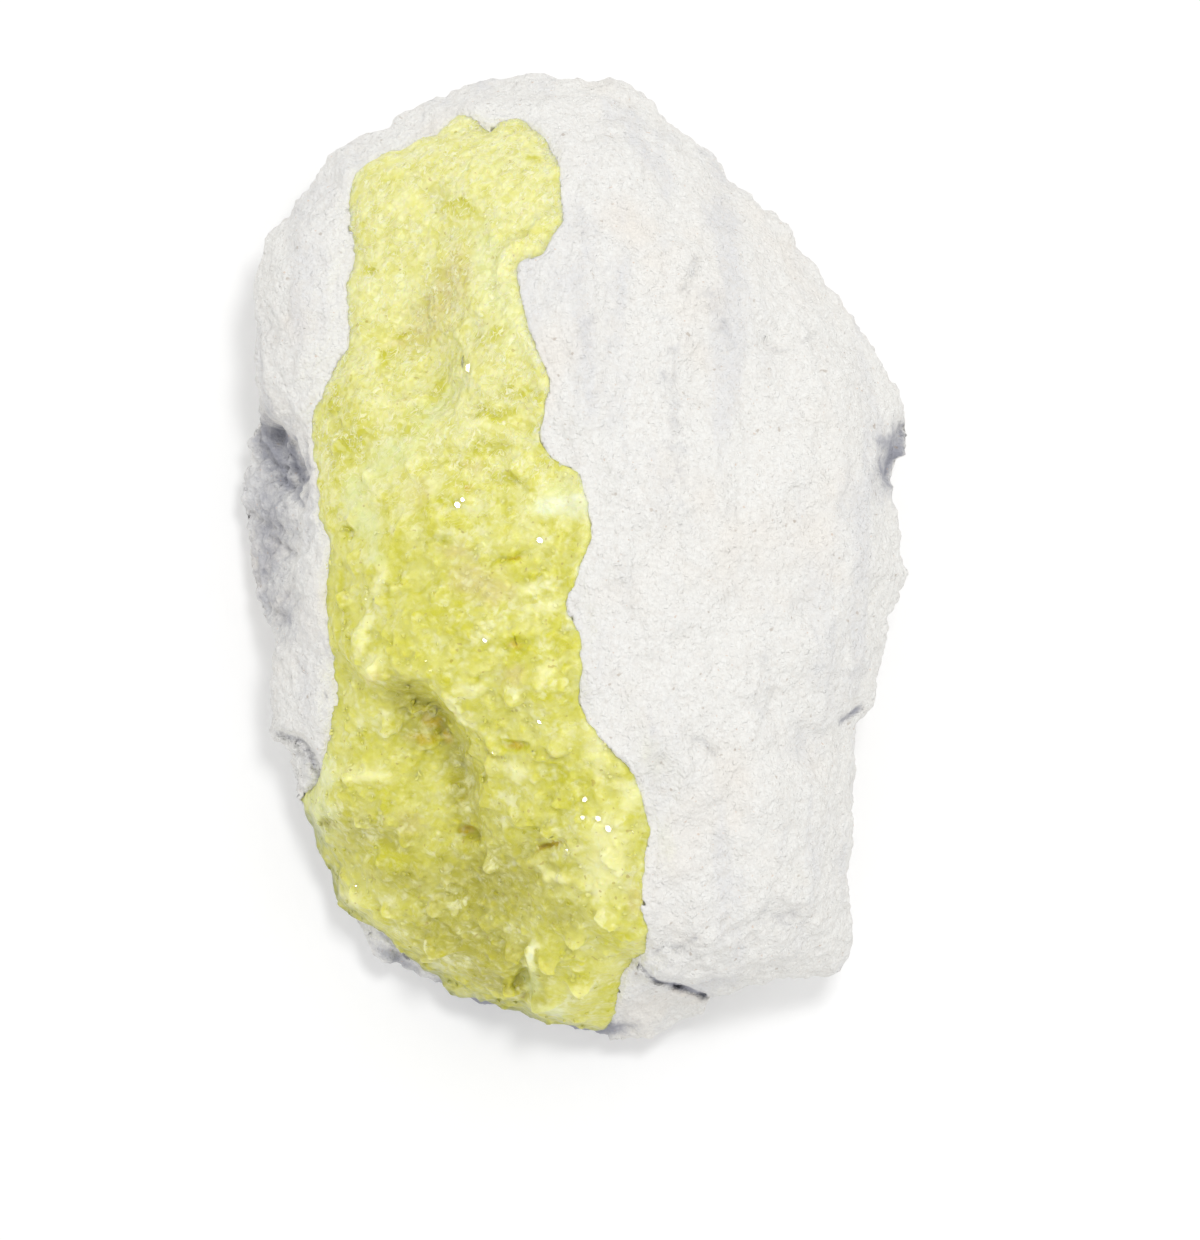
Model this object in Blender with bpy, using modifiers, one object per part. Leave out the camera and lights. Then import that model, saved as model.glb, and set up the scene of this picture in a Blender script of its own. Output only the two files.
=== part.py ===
"""Native sulfur on matrix: a palm-sized hand specimen, lying on the flat break at its back.

A pale granular stone carries a crust of yellow sulfur in a groove along its show face. The crust wraps
over the stone's lower left edge. Two solids: the stone, with the groove cut out of it, and the crust,
with its larger crystals fused to it.

Blender's unit is the metre, with +Z up. The stone's long axis is Y, its show face looks up, and the
origin is under its middle, on the plane it rests on. The tables below are in millimetres.
"""

import math
import random

import bmesh
import bpy
import numpy as np
from mathutils import Matrix, Vector, noise

COLLECTION_NAME = "native_sulfur_on_matrix"
MM = 0.001
TOUCHING = 0.001   # points closer than this, in millimetres, are one point

# The stone's widest outline, seen from above, clockwise from its top.
STONE_OUTLINE = (
    (-5.5, 44.4), (1.3, 44.3), (3.7, 43.7), (5.4, 42.9), (8.2, 39.7), (10.8, 37.5), (13.2, 34.7),
    (15.2, 33.0), (17.4, 31.0), (19.6, 29.1), (22.4, 26.1), (23.4, 24.2), (24.6, 22.8), (25.1, 20.6),
    (27.2, 19.1), (30.1, 15.0), (30.6, 13.4), (30.4, 11.9), (28.8, 8.1), (28.2, 7.5), (28.6, 4.2),
    (30.1, -0.9), (29.9, -2.3), (27.9, -5.4), (28.2, -7.7), (26.9, -13.3), (24.9, -15.8), (24.7, -17.0),
    (25.1, -21.4), (24.5, -26.0), (24.8, -27.4), (24.3, -29.2), (24.3, -30.8), (25.5, -34.3),
    (24.7, -37.2), (23.7, -38.3), (22.1, -38.7), (20.4, -38.1), (18.0, -38.4), (14.2, -39.7),
    (12.3, -39.6), (11.6, -40.3), (11.6, -41.6), (9.6, -42.5), (8.2, -43.5), (6.1, -44.5), (4.3, -45.2),
    (1.5, -45.3), (-0.1, -45.0), (-2.0, -44.1), (-3.8, -43.8), (-6.1, -42.0), (-7.5, -41.7),
    (-9.8, -42.1), (-11.4, -41.3), (-12.4, -39.8), (-13.7, -38.8), (-17.9, -37.1), (-21.9, -32.7),
    (-22.9, -30.6), (-23.4, -28.0), (-25.8, -24.0), (-26.9, -18.0), (-27.6, -16.8), (-28.8, -16.7),
    (-28.9, -15.7), (-28.0, -13.0), (-27.6, -7.0), (-29.7, -4.1), (-30.6, -2.1), (-31.0, 0.4),
    (-30.7, 2.9), (-31.5, 4.7), (-31.5, 6.1), (-30.7, 12.2), (-30.0, 13.3), (-29.1, 20.6), (-29.8, 23.5),
    (-28.6, 27.7), (-27.7, 29.7), (-25.0, 32.6), (-23.0, 36.9), (-22.1, 38.0), (-19.3, 38.5),
    (-17.8, 39.4), (-15.2, 41.9), (-13.5, 42.8), (-8.7, 44.2),
)

# The crust's margin, seen from above, clockwise from its top. From (3.0, -42.5) to (-25.8, -21.8) it follows
# the stone's own edge, and wraps over it.
CRUST_OUTLINE = (
    (-10.5, 40.7), (-8.9, 40.0), (-8.1, 38.9), (-7.2, 39.6), (-5.7, 40.0), (-4.2, 39.3), (-2.8, 38.0),
    (-1.8, 35.5), (-1.4, 30.4), (-3.1, 27.3), (-5.0, 26.8), (-5.6, 26.0), (-4.6, 21.6), (-2.5, 15.5),
    (-3.7, 10.4), (-2.3, 8.6), (0.4, 7.5), (0.4, 5.6), (1.3, 2.5), (-1.2, -4.4), (0.1, -6.8),
    (0.1, -13.2), (1.4, -15.7), (4.7, -19.0), (6.3, -23.6), (6.1, -27.2), (5.5, -29.6), (6.4, -35.2),
    (4.2, -37.4), (3.0, -42.5), (2.1, -44.1), (-1.1, -43.4), (-3.3, -43.3), (-9.1, -40.9), (-11.6, -40.8),
    (-12.9, -39.0), (-16.4, -37.0), (-17.2, -35.4), (-22.1, -32.8), (-22.8, -31.3), (-23.1, -28.8),
    (-24.1, -27.6), (-24.8, -25.2), (-25.6, -24.0), (-25.8, -21.8), (-23.8, -21.3), (-21.8, -11.0),
    (-23.0, -3.4), (-22.5, 2.6), (-23.6, 2.8), (-23.3, 7.7), (-24.1, 9.5), (-24.1, 12.8), (-21.8, 18.2),
    (-20.6, 18.6), (-21.3, 25.1), (-20.1, 27.4), (-21.0, 32.4), (-20.1, 35.4), (-17.5, 37.0),
    (-14.8, 38.1), (-12.4, 38.6), (-11.8, 39.7),
)

# The show face, as sections across the stone from its top to its foot. Each is its Y, and the (X, Z) of the
# points that shape it, from left to right.
FRONT_SECTIONS = (
    (41.0, ((-12.5, 18.5), (-4.5, 21.0), (4.0, 20.0))),
    (37.5, ((-21.0, 18.5), (-16.5, 20.5), (-10.0, 22.5), (-3.5, 24.0), (4.0, 24.0), (10.5, 19.0))),
    (33.0, ((-24.0, 19.0), (-21.0, 20.5), (-14.5, 23.5), (-7.0, 26.0), (-1.5, 27.5), (5.5, 26.5),
            (13.0, 21.0))),
    (27.5, ((-28.0, 18.5), (-24.5, 20.5), (-20.0, 21.5), (-13.5, 24.0), (-7.0, 27.0), (-1.5, 30.0),
            (6.5, 29.0), (14.5, 24.5), (20.0, 19.5))),
    (22.0, ((-29.0, 18.5), (-25.5, 20.5), (-20.5, 22.0), (-13.5, 22.5), (-9.0, 28.0), (-3.5, 31.0),
            (4.0, 30.5), (11.0, 28.5), (18.5, 24.5), (24.0, 19.5))),
    (16.5, ((-29.0, 17.0), (-25.0, 20.5), (-21.5, 21.5), (-16.0, 23.0), (-12.5, 24.5), (-9.0, 29.0),
            (-3.0, 32.0), (5.5, 31.0), (13.5, 28.5), (22.0, 24.0), (28.0, 18.5))),
    (11.0, ((-30.0, 10.0), (-25.5, 18.0), (-23.0, 21.0), (-19.0, 24.5), (-13.5, 27.5), (-7.0, 30.0),
            (-1.5, 32.0), (6.5, 31.0), (15.5, 28.0), (24.0, 24.0), (29.0, 19.0))),
    (5.5, ((-31.0, 7.0), (-27.5, 12.5), (-24.0, 20.0), (-21.0, 23.0), (-16.0, 27.0), (-9.5, 29.5),
           (-1.5, 31.5), (5.5, 32.0), (14.5, 29.5), (23.0, 25.0), (27.5, 21.0))),
    (0.0, ((-30.5, 7.5), (-27.0, 13.0), (-24.0, 20.0), (-21.0, 22.5), (-17.0, 27.0), (-9.5, 30.0),
           (-1.5, 32.0), (6.5, 32.0), (15.5, 29.5), (24.5, 24.5), (29.0, 20.0))),
    (-5.5, ((-29.0, 12.0), (-26.0, 18.0), (-23.0, 20.5), (-21.0, 22.5), (-16.5, 27.5), (-9.5, 30.5),
            (-1.5, 32.0), (6.5, 32.0), (15.5, 29.0), (24.0, 24.5), (27.5, 21.0))),
    (-11.0, ((-27.5, 15.0), (-24.5, 18.5), (-22.0, 20.5), (-17.5, 26.0), (-12.5, 29.0), (-6.0, 30.5),
             (0.0, 32.0), (7.5, 31.5), (16.5, 28.5), (23.0, 24.5), (27.0, 20.0))),
    (-16.5, ((-28.0, 12.5), (-25.5, 16.0), (-22.0, 18.0), (-16.5, 20.5), (-11.5, 21.5), (-8.0, 26.0),
             (-2.5, 29.5), (3.0, 31.5), (10.0, 30.5), (18.0, 27.0), (24.5, 20.0))),
    (-22.0, ((-25.5, 11.0), (-22.0, 17.0), (-16.5, 19.5), (-11.5, 20.5), (-7.0, 24.0), (-1.5, 28.0),
             (4.0, 30.0), (11.0, 29.5), (18.5, 26.5), (24.5, 20.0))),
    (-27.5, ((-23.0, 10.5), (-19.0, 15.5), (-13.5, 18.0), (-9.0, 19.5), (-4.5, 23.5), (1.0, 27.0),
             (6.5, 28.5), (13.5, 27.5), (20.0, 24.5), (24.0, 19.5))),
    (-33.0, ((-21.0, 10.0), (-16.5, 14.0), (-12.0, 16.5), (-7.0, 18.5), (-2.5, 22.5), (3.0, 25.0),
             (8.5, 26.0), (15.5, 25.0), (22.0, 21.5), (25.0, 17.0))),
    (-37.5, ((-14.5, 10.5), (-10.0, 13.0), (-5.5, 16.5), (-0.5, 19.5), (4.0, 20.0), (9.5, 22.0),
             (15.5, 20.5), (22.5, 16.5))),
    (-40.5, ((-10.5, 9.0), (-5.5, 12.0), (-0.5, 15.0), (5.5, 14.5), (9.5, 13.0))),
    (-43.5, ((-1.5, 9.5), (2.5, 10.5), (6.5, 10.5))),
)

# Steps where the show face has broken or grown past itself: the drop, how far from the line it fades, and the
# line along it. The low side is on the right of the line as listed.
FRONT_STEPS = {
    "ledge": (4.5, 2.6, ((3.1, -34.4), (5.1, -36.0), (6.8, -37.7), (8.6, -39.0), (10.3, -39.9),
                         (11.9, -40.4))),
    "hollow_lip": (4.5, 3.0, ((-20.8, -9.5), (-18.1, -11.6), (-15.2, -11.0), (-12.4, -11.7),
                              (-10.4, -14.7), (-9.5, -19.3))),
    "foot_block": (2.4, 1.8, ((-4.4, -36.4), (-4.6, -39.0), (-4.4, -42.8))),
    "left_break": (2.5, 1.6, ((-29.3, 17.4), (-28.1, 12.7), (-25.6, 9.7), (-24.3, 6.2), (-25.2, 0.0),
                              (-25.7, -3.7), (-27.4, -7.4))),
    "left_foot": (2.5, 1.6, ((-28.5, -14.5), (-27.0, -16.9), (-25.3, -17.8), (-24.1, -20.0), (-23.5, -21.5))),
    "right_notch": (1.5, 1.2, ((22.2, -14.8), (24.5, -14.3), (25.6, -13.9), (27.1, -12.8))),
    "right_corner": (2.2, 1.2, ((27.8, 6.9), (28.4, 9.2), (29.2, 11.4), (30.8, 14.3))),
    "foot_break": (1.6, 2.0, ((13.1, -35.4), (15.4, -33.4), (18.2, -31.1), (21.4, -32.4), (25.0, -31.3))),
    "foot_knob": (1.2, 1.6, ((5.6, -34.1), (8.2, -34.3), (10.1, -33.2), (11.4, -34.9), (12.6, -37.3))),
    "flake": (0.8, 1.6, ((20.8, 19.8), (19.8, 18.9), (18.1, 18.5), (16.5, 20.6), (14.1, 21.9))),
}

# Pits in the show face: X, Y, depth, radius.
FRONT_PITS = (
    (11.4, -16.3, 0.8, 0.9), (13.0, -17.7, 0.8, 1.0), (6.5, -35.0, 1.0, 1.0), (-10.2, -24.5, 1.5, 1.1),
    (-2.8, -26.1, 1.5, 1.2), (-14.8, -13.8, 1.2, 1.6), (-12.5, -14.9, 1.2, 1.4),
)

SHEET_STIFFNESS = 0.6    # how far the fitted face may pass from its sections, to run smoothly
RIM_ROUND = 2.2          # how far the show face rolls down at the stone's edge
RIM_REACH = 1.3
RIM_HOLD = 3.0           # within this distance the rim keeps to its outline
RIM_LEAST_HEIGHT = 5.5   # the show face never comes lower than this

# Flat breaks round the stone's wall and back: the compass direction that each faces, how far it leans to face
# downwards, both in degrees, and its distance from the origin.
BREAKS = (
    (0.0, 20.0, 19.5), (38.0, 25.0, 24.0), (75.0, 30.0, 30.0), (120.0, 22.0, 33.8), (165.0, 28.0, 24.5),
    (196.0, 35.0, 20.5), (236.0, 30.0, 32.5), (275.0, 25.0, 37.5), (318.0, 30.0, 29.5), (15.0, 64.0, 9.0),
    (140.0, 60.0, 13.5), (290.0, 66.0, 13.0),
)
BREAK_REACH = 1.8        # how soon below the rim a break cuts fully

STONE_GROWTH = 0.45      # what relaxing the slab's corners takes off its outline
STONE_VOXEL = 0.8
STONE_TRIANGLES = 3850
STONE_BLANK_HEIGHT = 20.0
STONE_LUMPS = ((9.0, 1.0), (4.2, 0.7), (2.1, 0.4))
BACK_CUT = 1.4           # what is broken flat off the back
BACK_RISE = 4.0          # how far the back rises at the stone's edge
BACK_REACH = 5.0
UNDERCUT = 0.07          # how much narrower the foot of the wall is than its head

CRUST_GROWTH = 0.2       # as for the stone
CRUST_VOXEL = 0.62
CRUST_TRIANGLES = 2100
CRUST_LUMPS = ((5.5, 1.4), (2.6, 0.9))
CRUST_BLANK_HEIGHT = 4.0
CRUST_DEPTH = 4.2        # how deep the crust fills the groove
CRUST_EDGE_DEPTH = 1.2   # and how deep at the stone's edge
CRUST_EDGE_REACH = 5.0
CRUST_RISE = 0.6         # how proud of the stone it stands
CRUST_MARGIN = 1.4       # over what width it comes down to its margin
GAP = 0.45               # between crust and stone
GROOVE_OVERRUN = 3.0     # how far the groove runs out past the stone's edge, where the crust wraps over it
GROOVE_RIM = 1.4         # which is wherever the crust's margin is this close to the stone's edge
GROOVE_TOP = 6.0         # how far the cutter reaches over the show face
GROOVE_TRIANGLES = 2600

# Crystals standing on the crust: the axis and girdle of the largest, and how they are spread.
CRYSTAL_COUNT = 84
CRYSTAL_LENGTH = 4.4
CRYSTAL_RADIUS = 1.9
CRYSTAL_SPACING = 2.7
CRYSTAL_INSET = 2.1      # the least distance from the crust's margin
CRYSTAL_STEEPEST = 0.5   # the least upward part of the slope's direction under a crystal
CRYSTAL_SIDES = 4
CRYSTAL_ROOT = 0.4       # share of the lower half that is buried in the crust
CRYSTAL_TIP = 0.4        # share of the girdle that is left at a crystal's flat tip
CRYSTAL_SQUEEZE = 0.82   # the rhombic section's second axis
CRYSTAL_SINK = 0.35      # how deep the girdle sits, in girdle radii
CRYSTAL_SIZES = (0.55, 0.75)   # shares of the full length and radius, at the crust's top
CRYSTAL_LOWER_GAIN = 0.35      # what is added to that share towards the crust's foot
CRYSTAL_SEED = 11
NAMED_CRYSTAL_SINK = 0.2

# The crystals that stand out by themselves: X, Y, axis length, girdle radius, tilt from upright and its
# compass direction in degrees.
NAMED_CRYSTALS = {
    "pale_prism": (-4.1, -36.9, 5.2, 0.85, 62.0, 100.0),
    "pale_plate": (-2.0, 5.1, 3.8, 1.0, 74.0, 5.0),
    "upper_flake": (-10.0, 11.4, 5.0, 1.2, 74.0, 20.0),
    "lower_flake": (-11.6, 8.2, 4.6, 1.2, 76.0, 340.0),
}

RELAX_ROUNDS = 2
REST_BLOCK = 140.0       # the edge of the block that cuts the stone's back flat
LEAST_DISTANCE = 1e-6    # keeps the thin sheet's logarithm off zero
SLOPE_STEP = 1.0         # how far apart heights are read to find a slope

STONE_COLOUR = (0.80, 0.79, 0.76, 1.0)
STONE_ROUGHNESS = 0.95
SULFUR_COLOUR = (0.72, 0.66, 0.10, 1.0)
SULFUR_ROUGHNESS = 0.35


def clear_scene():
    for obj in list(bpy.data.objects):
        bpy.data.objects.remove(obj, do_unlink=True)


def new_collection(name, parent=None):
    collection = bpy.data.collections.new(name)
    (parent or bpy.context.scene.collection).children.link(collection)
    return collection


def matte_material(name, colour, roughness):
    material = bpy.data.materials.new(name)
    material.use_nodes = True
    shader = material.node_tree.nodes["Principled BSDF"]
    shader.inputs["Base Color"].default_value = colour
    shader.inputs["Roughness"].default_value = roughness
    shader.inputs["Metallic"].default_value = 0.0
    return material


# Points and lines, all in millimetres


def points_of(mesh):
    """The mesh's points, in millimetres, one row each."""
    points = np.empty(len(mesh.vertices) * 3)
    mesh.vertices.foreach_get("co", points)
    return points.reshape(-1, 3) / MM


def set_points(mesh, points):
    mesh.vertices.foreach_set("co", (points * MM).ravel())
    mesh.update()


def ends_of(line, closed):
    """The start and end of each straight piece of a line."""
    starts = np.array(line, float)
    if closed:
        return starts, np.roll(starts, -1, axis=0)
    return starts[:-1], starts[1:]


def distance_to(line, places, closed=True):
    """How far each place is from the line, and which of its pieces is nearest."""
    starts, ends = ends_of(line, closed)
    runs = ends - starts
    offsets = places[:, None, :] - starts[None, :, :]
    along = (offsets * runs).sum(axis=2) / (runs * runs).sum(axis=1)
    along = np.clip(along, 0.0, 1.0)
    gaps = offsets - along[:, :, None] * runs[None, :, :]
    distances = np.hypot(gaps[:, :, 0], gaps[:, :, 1])
    nearest = distances.argmin(axis=1)
    return distances[np.arange(len(places)), nearest], nearest


def side_of(line, places):
    """+1 for each place on the right of an open line, -1 on its left, and how far each is from it."""
    distances, nearest = distance_to(line, places, closed=False)
    starts, ends = ends_of(line, closed=False)
    runs = (ends - starts)[nearest]
    offsets = places - starts[nearest]
    turn = runs[:, 0] * offsets[:, 1] - runs[:, 1] * offsets[:, 0]
    return np.where(turn < 0.0, 1.0, -1.0), distances


def outward_normals(outline):
    """The outward direction at each point of a clockwise outline."""
    points = np.array(outline)
    tangents = np.roll(points, -1, axis=0) - np.roll(points, 1, axis=0)
    normals = np.column_stack([-tangents[:, 1], tangents[:, 0]])
    return normals / np.hypot(normals[:, 0], normals[:, 1])[:, None]


def grown(outline, distance):
    """The outline moved outwards: by one distance, or by one for each of its points."""
    step = np.broadcast_to(distance, len(outline))
    return np.array(outline) + outward_normals(outline) * step[:, None]


def facing_direction(compass, rise):
    """The unit direction at a compass angle from +X towards +Y, rising from the level, both in degrees."""
    turn = math.radians(compass)
    up = math.radians(rise)
    return np.array([math.cos(turn) * math.cos(up), math.sin(turn) * math.cos(up), math.sin(up)])


def smooth_noise(points, size):
    """Smooth waves of about one size, between -1 and 1, at each point."""
    return np.array([noise.noise(Vector(point) / size) for point in points])


# The show face


def thin_plate(distances):
    """The bending shape of a thin sheet pushed up at one point."""
    return distances**2 * np.log(np.maximum(distances, LEAST_DISTANCE))


def distances_between(places, others):
    gaps = places[:, None, :] - others[None, :, :]
    return np.hypot(gaps[:, :, 0], gaps[:, :, 1])


class FrontSheet:
    """A thin bent sheet laid over the sections of the show face."""

    def __init__(self, sections, stiffness):
        stations = [(x, y, z) for y, section in sections for x, z in section]
        stations = np.array(stations)
        count = len(stations)
        self.places = stations[:, :2]
        flat = np.column_stack([np.ones(count), self.places])
        system = np.zeros((count + 3, count + 3))
        system[:count, :count] = thin_plate(distances_between(self.places, self.places))
        system[:count, :count] += stiffness * np.eye(count)
        system[:count, count:] = flat
        system[count:, :count] = flat.T
        self.weights = np.linalg.solve(system, np.append(stations[:, 2], (0.0, 0.0, 0.0)))

    def height(self, places):
        bending = thin_plate(distances_between(places, self.places))
        flat = np.column_stack([np.ones(len(places)), places])
        return bending @ self.weights[:-3] + flat @ self.weights[-3:]


def face_height(sheet, places):
    """The show face's height over each place, with none of its steps and pits."""
    edge, _ = distance_to(STONE_OUTLINE, places)
    heights = sheet.height(places) - RIM_ROUND * np.exp(-edge / RIM_REACH)
    return np.maximum(heights, RIM_LEAST_HEIGHT)


def front_height(sheet, places):
    """The show face's height over each place."""
    heights = face_height(sheet, places)
    for drop, reach, line in FRONT_STEPS.values():
        side, distance = side_of(line, places)
        heights -= side * drop / 2.0 * np.exp(-distance / reach)
    for x, y, depth, radius in FRONT_PITS:
        distance = np.hypot(places[:, 0] - x, places[:, 1] - y)
        heights -= depth * np.exp(-((distance / radius) ** 2))
    return np.maximum(heights, RIM_LEAST_HEIGHT)


# Blanks, and the tools that shape them


def slab(name, outline, height, voxel, collection):
    """The outline, filled and thickened from Z = 0 up, with an even net of faces all over."""
    curve = bpy.data.curves.new(name + "_outline", "CURVE")
    curve.dimensions = "2D"
    curve.fill_mode = "BOTH"
    curve.extrude = height / 2.0 * MM
    spline = curve.splines.new("POLY")
    spline.points.add(len(outline) - 1)
    for point, (x, y) in zip(spline.points, outline):
        point.co = (x * MM, y * MM, 0.0, 1.0)
    spline.use_cyclic_u = True
    guide = bpy.data.objects.new(name + "_outline", curve)
    guide.location.z = height / 2.0 * MM
    bpy.context.scene.collection.objects.link(guide)
    mesh = evaluated_mesh(guide)
    mesh.transform(guide.matrix_world)
    weld(mesh)
    bpy.data.objects.remove(guide, do_unlink=True)

    obj = bpy.data.objects.new(name, mesh)
    collection.objects.link(obj)
    remesh = obj.modifiers.new("even_net", "REMESH")
    remesh.mode = "VOXEL"
    remesh.voxel_size = voxel * MM
    obj.data = evaluated_mesh(obj)
    obj.modifiers.clear()
    return obj


def evaluated_mesh(obj):
    bpy.context.view_layer.update()
    graph = bpy.context.evaluated_depsgraph_get()
    return bpy.data.meshes.new_from_object(obj.evaluated_get(graph))


def weld(mesh):
    shape = bmesh.new()
    shape.from_mesh(mesh)
    bmesh.ops.remove_doubles(shape, verts=shape.verts, dist=TOUCHING * MM)
    shape.to_mesh(mesh)
    shape.free()


def relax(mesh):
    """Rounds off sharp corners, each round moving a point halfway to the middle of its neighbours."""
    shape = bmesh.new()
    shape.from_mesh(mesh)
    for _ in range(RELAX_ROUNDS):
        bmesh.ops.smooth_vert(
            shape, verts=shape.verts, factor=0.5, use_axis_x=True, use_axis_y=True, use_axis_z=True
        )
    shape.to_mesh(mesh)
    shape.free()


def roughen(mesh, layers, freedom):
    """Moves each point along its normal by smooth noise, (lump size, height) for each layer, and sideways
    only as far as its freedom from 0 to 1 lets it."""
    points = points_of(mesh)
    for size, height in layers:
        normals = np.empty(len(points) * 3)
        mesh.vertices.foreach_get("normal", normals)
        moves = normals.reshape(-1, 3) * (height * smooth_noise(points, size))[:, None]
        moves[:, :2] *= freedom[:, None]
        points += moves
        set_points(mesh, points)


def cut_away(obj, cutter):
    boolean = obj.modifiers.new(cutter.name, "BOOLEAN")
    boolean.operation = "DIFFERENCE"
    boolean.solver = "EXACT"
    boolean.object = cutter


def grow_together(obj, collection):
    """Joins everything in the collection to the object, in one solid."""
    boolean = obj.modifiers.new(collection.name, "BOOLEAN")
    boolean.operation = "UNION"
    boolean.solver = "EXACT"
    boolean.operand_type = "COLLECTION"
    boolean.collection = collection


def add_decimate(obj, triangles):
    """Leaves about this many triangles, most of them where the surface bends."""
    obj.data.calc_loop_triangles()
    decimate = obj.modifiers.new("fewer_faces", "DECIMATE")
    decimate.ratio = triangles / len(obj.data.loop_triangles)


def as_cutter(obj):
    obj.hide_render = True
    obj.display_type = "WIRE"


# The stone


def shape_stone(mesh, sheet):
    """Bends the slab's top to the show face and its back to a low dome, and breaks its wall back to its
    foot. Returns how free of the rim each point is, from 0 to 1."""
    points = points_of(mesh)
    share = np.clip(points[:, 2] / STONE_BLANK_HEIGHT, 0.0, 1.0)
    places = points[:, :2].copy()
    edge, _ = distance_to(STONE_OUTLINE, places)
    back = BACK_RISE * np.exp(-edge / BACK_REACH) - BACK_CUT
    front = front_height(sheet, places)
    points[:, 2] = back + share * (front - back)
    points[:, :2] *= (1.0 - UNDERCUT * (1.0 - share) ** 3)[:, None]
    for compass, lean, distance in BREAKS:
        facing = facing_direction(compass, -lean)
        beyond = np.maximum(points @ facing - distance, 0.0)
        below_rim = np.minimum((1.0 - share) * BREAK_REACH, 1.0)
        points -= (beyond * below_rim)[:, None] * facing
    set_points(mesh, points)
    from_rim = np.hypot(edge, (1.0 - share) * STONE_BLANK_HEIGHT)
    return 1.0 - np.exp(-from_rim / RIM_HOLD)


def rest_cutter(collection):
    """A block under Z = 0, which leaves the stone its flat back."""
    size = REST_BLOCK * MM
    bpy.ops.mesh.primitive_cube_add(size=size, location=(0.0, 0.0, -size / 2.0))
    block = bpy.context.object
    block.name = "cut_back"
    for owner in list(block.users_collection):
        owner.objects.unlink(block)
    collection.objects.link(block)
    as_cutter(block)
    return block


def build_stone(sheet, groove, cutters, collection):
    outline = grown(STONE_OUTLINE, STONE_GROWTH)
    stone = slab("matrix", outline, STONE_BLANK_HEIGHT, STONE_VOXEL, collection)
    freedom = shape_stone(stone.data, sheet)
    relax(stone.data)
    roughen(stone.data, STONE_LUMPS, freedom)
    add_decimate(stone, STONE_TRIANGLES)
    cut_away(stone, groove)
    cut_away(stone, rest_cutter(cutters))
    stone.data.materials.append(matte_material("white_stone", STONE_COLOUR, STONE_ROUGHNESS))
    return stone


# The crust


def crust_bottom(sheet, places):
    """The crust's under face: deep in the groove, and thin where it wraps over the stone's edge."""
    edge, _ = distance_to(STONE_OUTLINE, places)
    deeper = (CRUST_DEPTH - CRUST_EDGE_DEPTH) * np.minimum(edge / CRUST_EDGE_REACH, 1.0)
    return face_height(sheet, places) - CRUST_EDGE_DEPTH - deeper


def crust_top(sheet, places):
    """The crust's upper face: the show face, lifted away from the margin."""
    margin, _ = distance_to(CRUST_OUTLINE, places)
    lift = np.full(len(places), CRUST_RISE)
    level = np.column_stack([places, np.zeros(len(places))])
    for size, height in CRUST_LUMPS:
        lift += height * smooth_noise(level, size)
    return front_height(sheet, places) + lift * np.minimum(margin / CRUST_MARGIN, 1.0)


def shape_crust(mesh, sheet):
    points = points_of(mesh)
    share = points[:, 2] / CRUST_BLANK_HEIGHT
    low = crust_bottom(sheet, points[:, :2])
    high = crust_top(sheet, points[:, :2])
    points[:, 2] = low + share * (high - low)
    set_points(mesh, points)


def groove_outline():
    """The crust's margin, a gap wider, and run well out where it wraps over the stone's edge."""
    outline = np.array(CRUST_OUTLINE)
    to_edge, _ = distance_to(STONE_OUTLINE, outline)
    return grown(outline, np.where(to_edge < GROOVE_RIM, GROOVE_OVERRUN, CRUST_GROWTH + GAP))


def build_groove(sheet, cutters):
    """The cutter for the crust's seat in the stone."""
    groove = slab("cut_groove", groove_outline(), CRUST_BLANK_HEIGHT, STONE_VOXEL, cutters)
    points = points_of(groove.data)
    share = points[:, 2] / CRUST_BLANK_HEIGHT
    low = crust_bottom(sheet, points[:, :2]) - GAP
    points[:, 2] = low + share * (CRUST_DEPTH + GROOVE_TOP)
    set_points(groove.data, points)
    add_decimate(groove, GROOVE_TRIANGLES)
    groove.data = evaluated_mesh(groove)
    groove.modifiers.clear()
    as_cutter(groove)
    return groove


def crystal_shape(shape, length, radius):
    """A rhombic dipyramid with flat tips, along Z, with its girdle at the origin and its lower half a
    short root."""
    made = []
    for turn, depth in ((0.0, length / 2.0), (math.pi, length / 2.0 * CRYSTAL_ROOT)):
        half = bmesh.ops.create_cone(
            shape,
            cap_ends=True,
            segments=CRYSTAL_SIDES,
            radius1=radius * MM,
            radius2=radius * CRYSTAL_TIP * MM,
            depth=depth * MM,
            matrix=Matrix.Rotation(turn, 4, "X") @ Matrix.Translation((0.0, 0.0, depth / 2.0 * MM)),
        )
        made += half["verts"]
    bmesh.ops.remove_doubles(shape, verts=made, dist=TOUCHING * MM)
    girdle = [face for face in shape.faces if all(abs(v.co.z) < TOUCHING * MM for v in face.verts)]
    bmesh.ops.delete(shape, geom=girdle, context="FACES_ONLY")


def crystal(name, length, radius, place, axis, spin, collection):
    """One crystal, with its girdle at the place and its axis turned to the given direction."""
    shape = bmesh.new()
    crystal_shape(shape, length, radius)
    mesh = bpy.data.meshes.new(name)
    turned = axis.to_track_quat("Z", "Y").to_matrix().to_4x4()
    squeeze = Matrix.Scale(CRYSTAL_SQUEEZE, 4, (0.0, 1.0, 0.0))
    place_matrix = Matrix.Translation(Vector(place) * MM) @ turned @ Matrix.Rotation(spin, 4, "Z") @ squeeze
    bmesh.ops.transform(shape, matrix=place_matrix, verts=shape.verts)
    bmesh.ops.recalc_face_normals(shape, faces=shape.faces)
    shape.to_mesh(mesh)
    shape.free()
    obj = bpy.data.objects.new(name, mesh)
    collection.objects.link(obj)
    as_cutter(obj)


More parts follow.
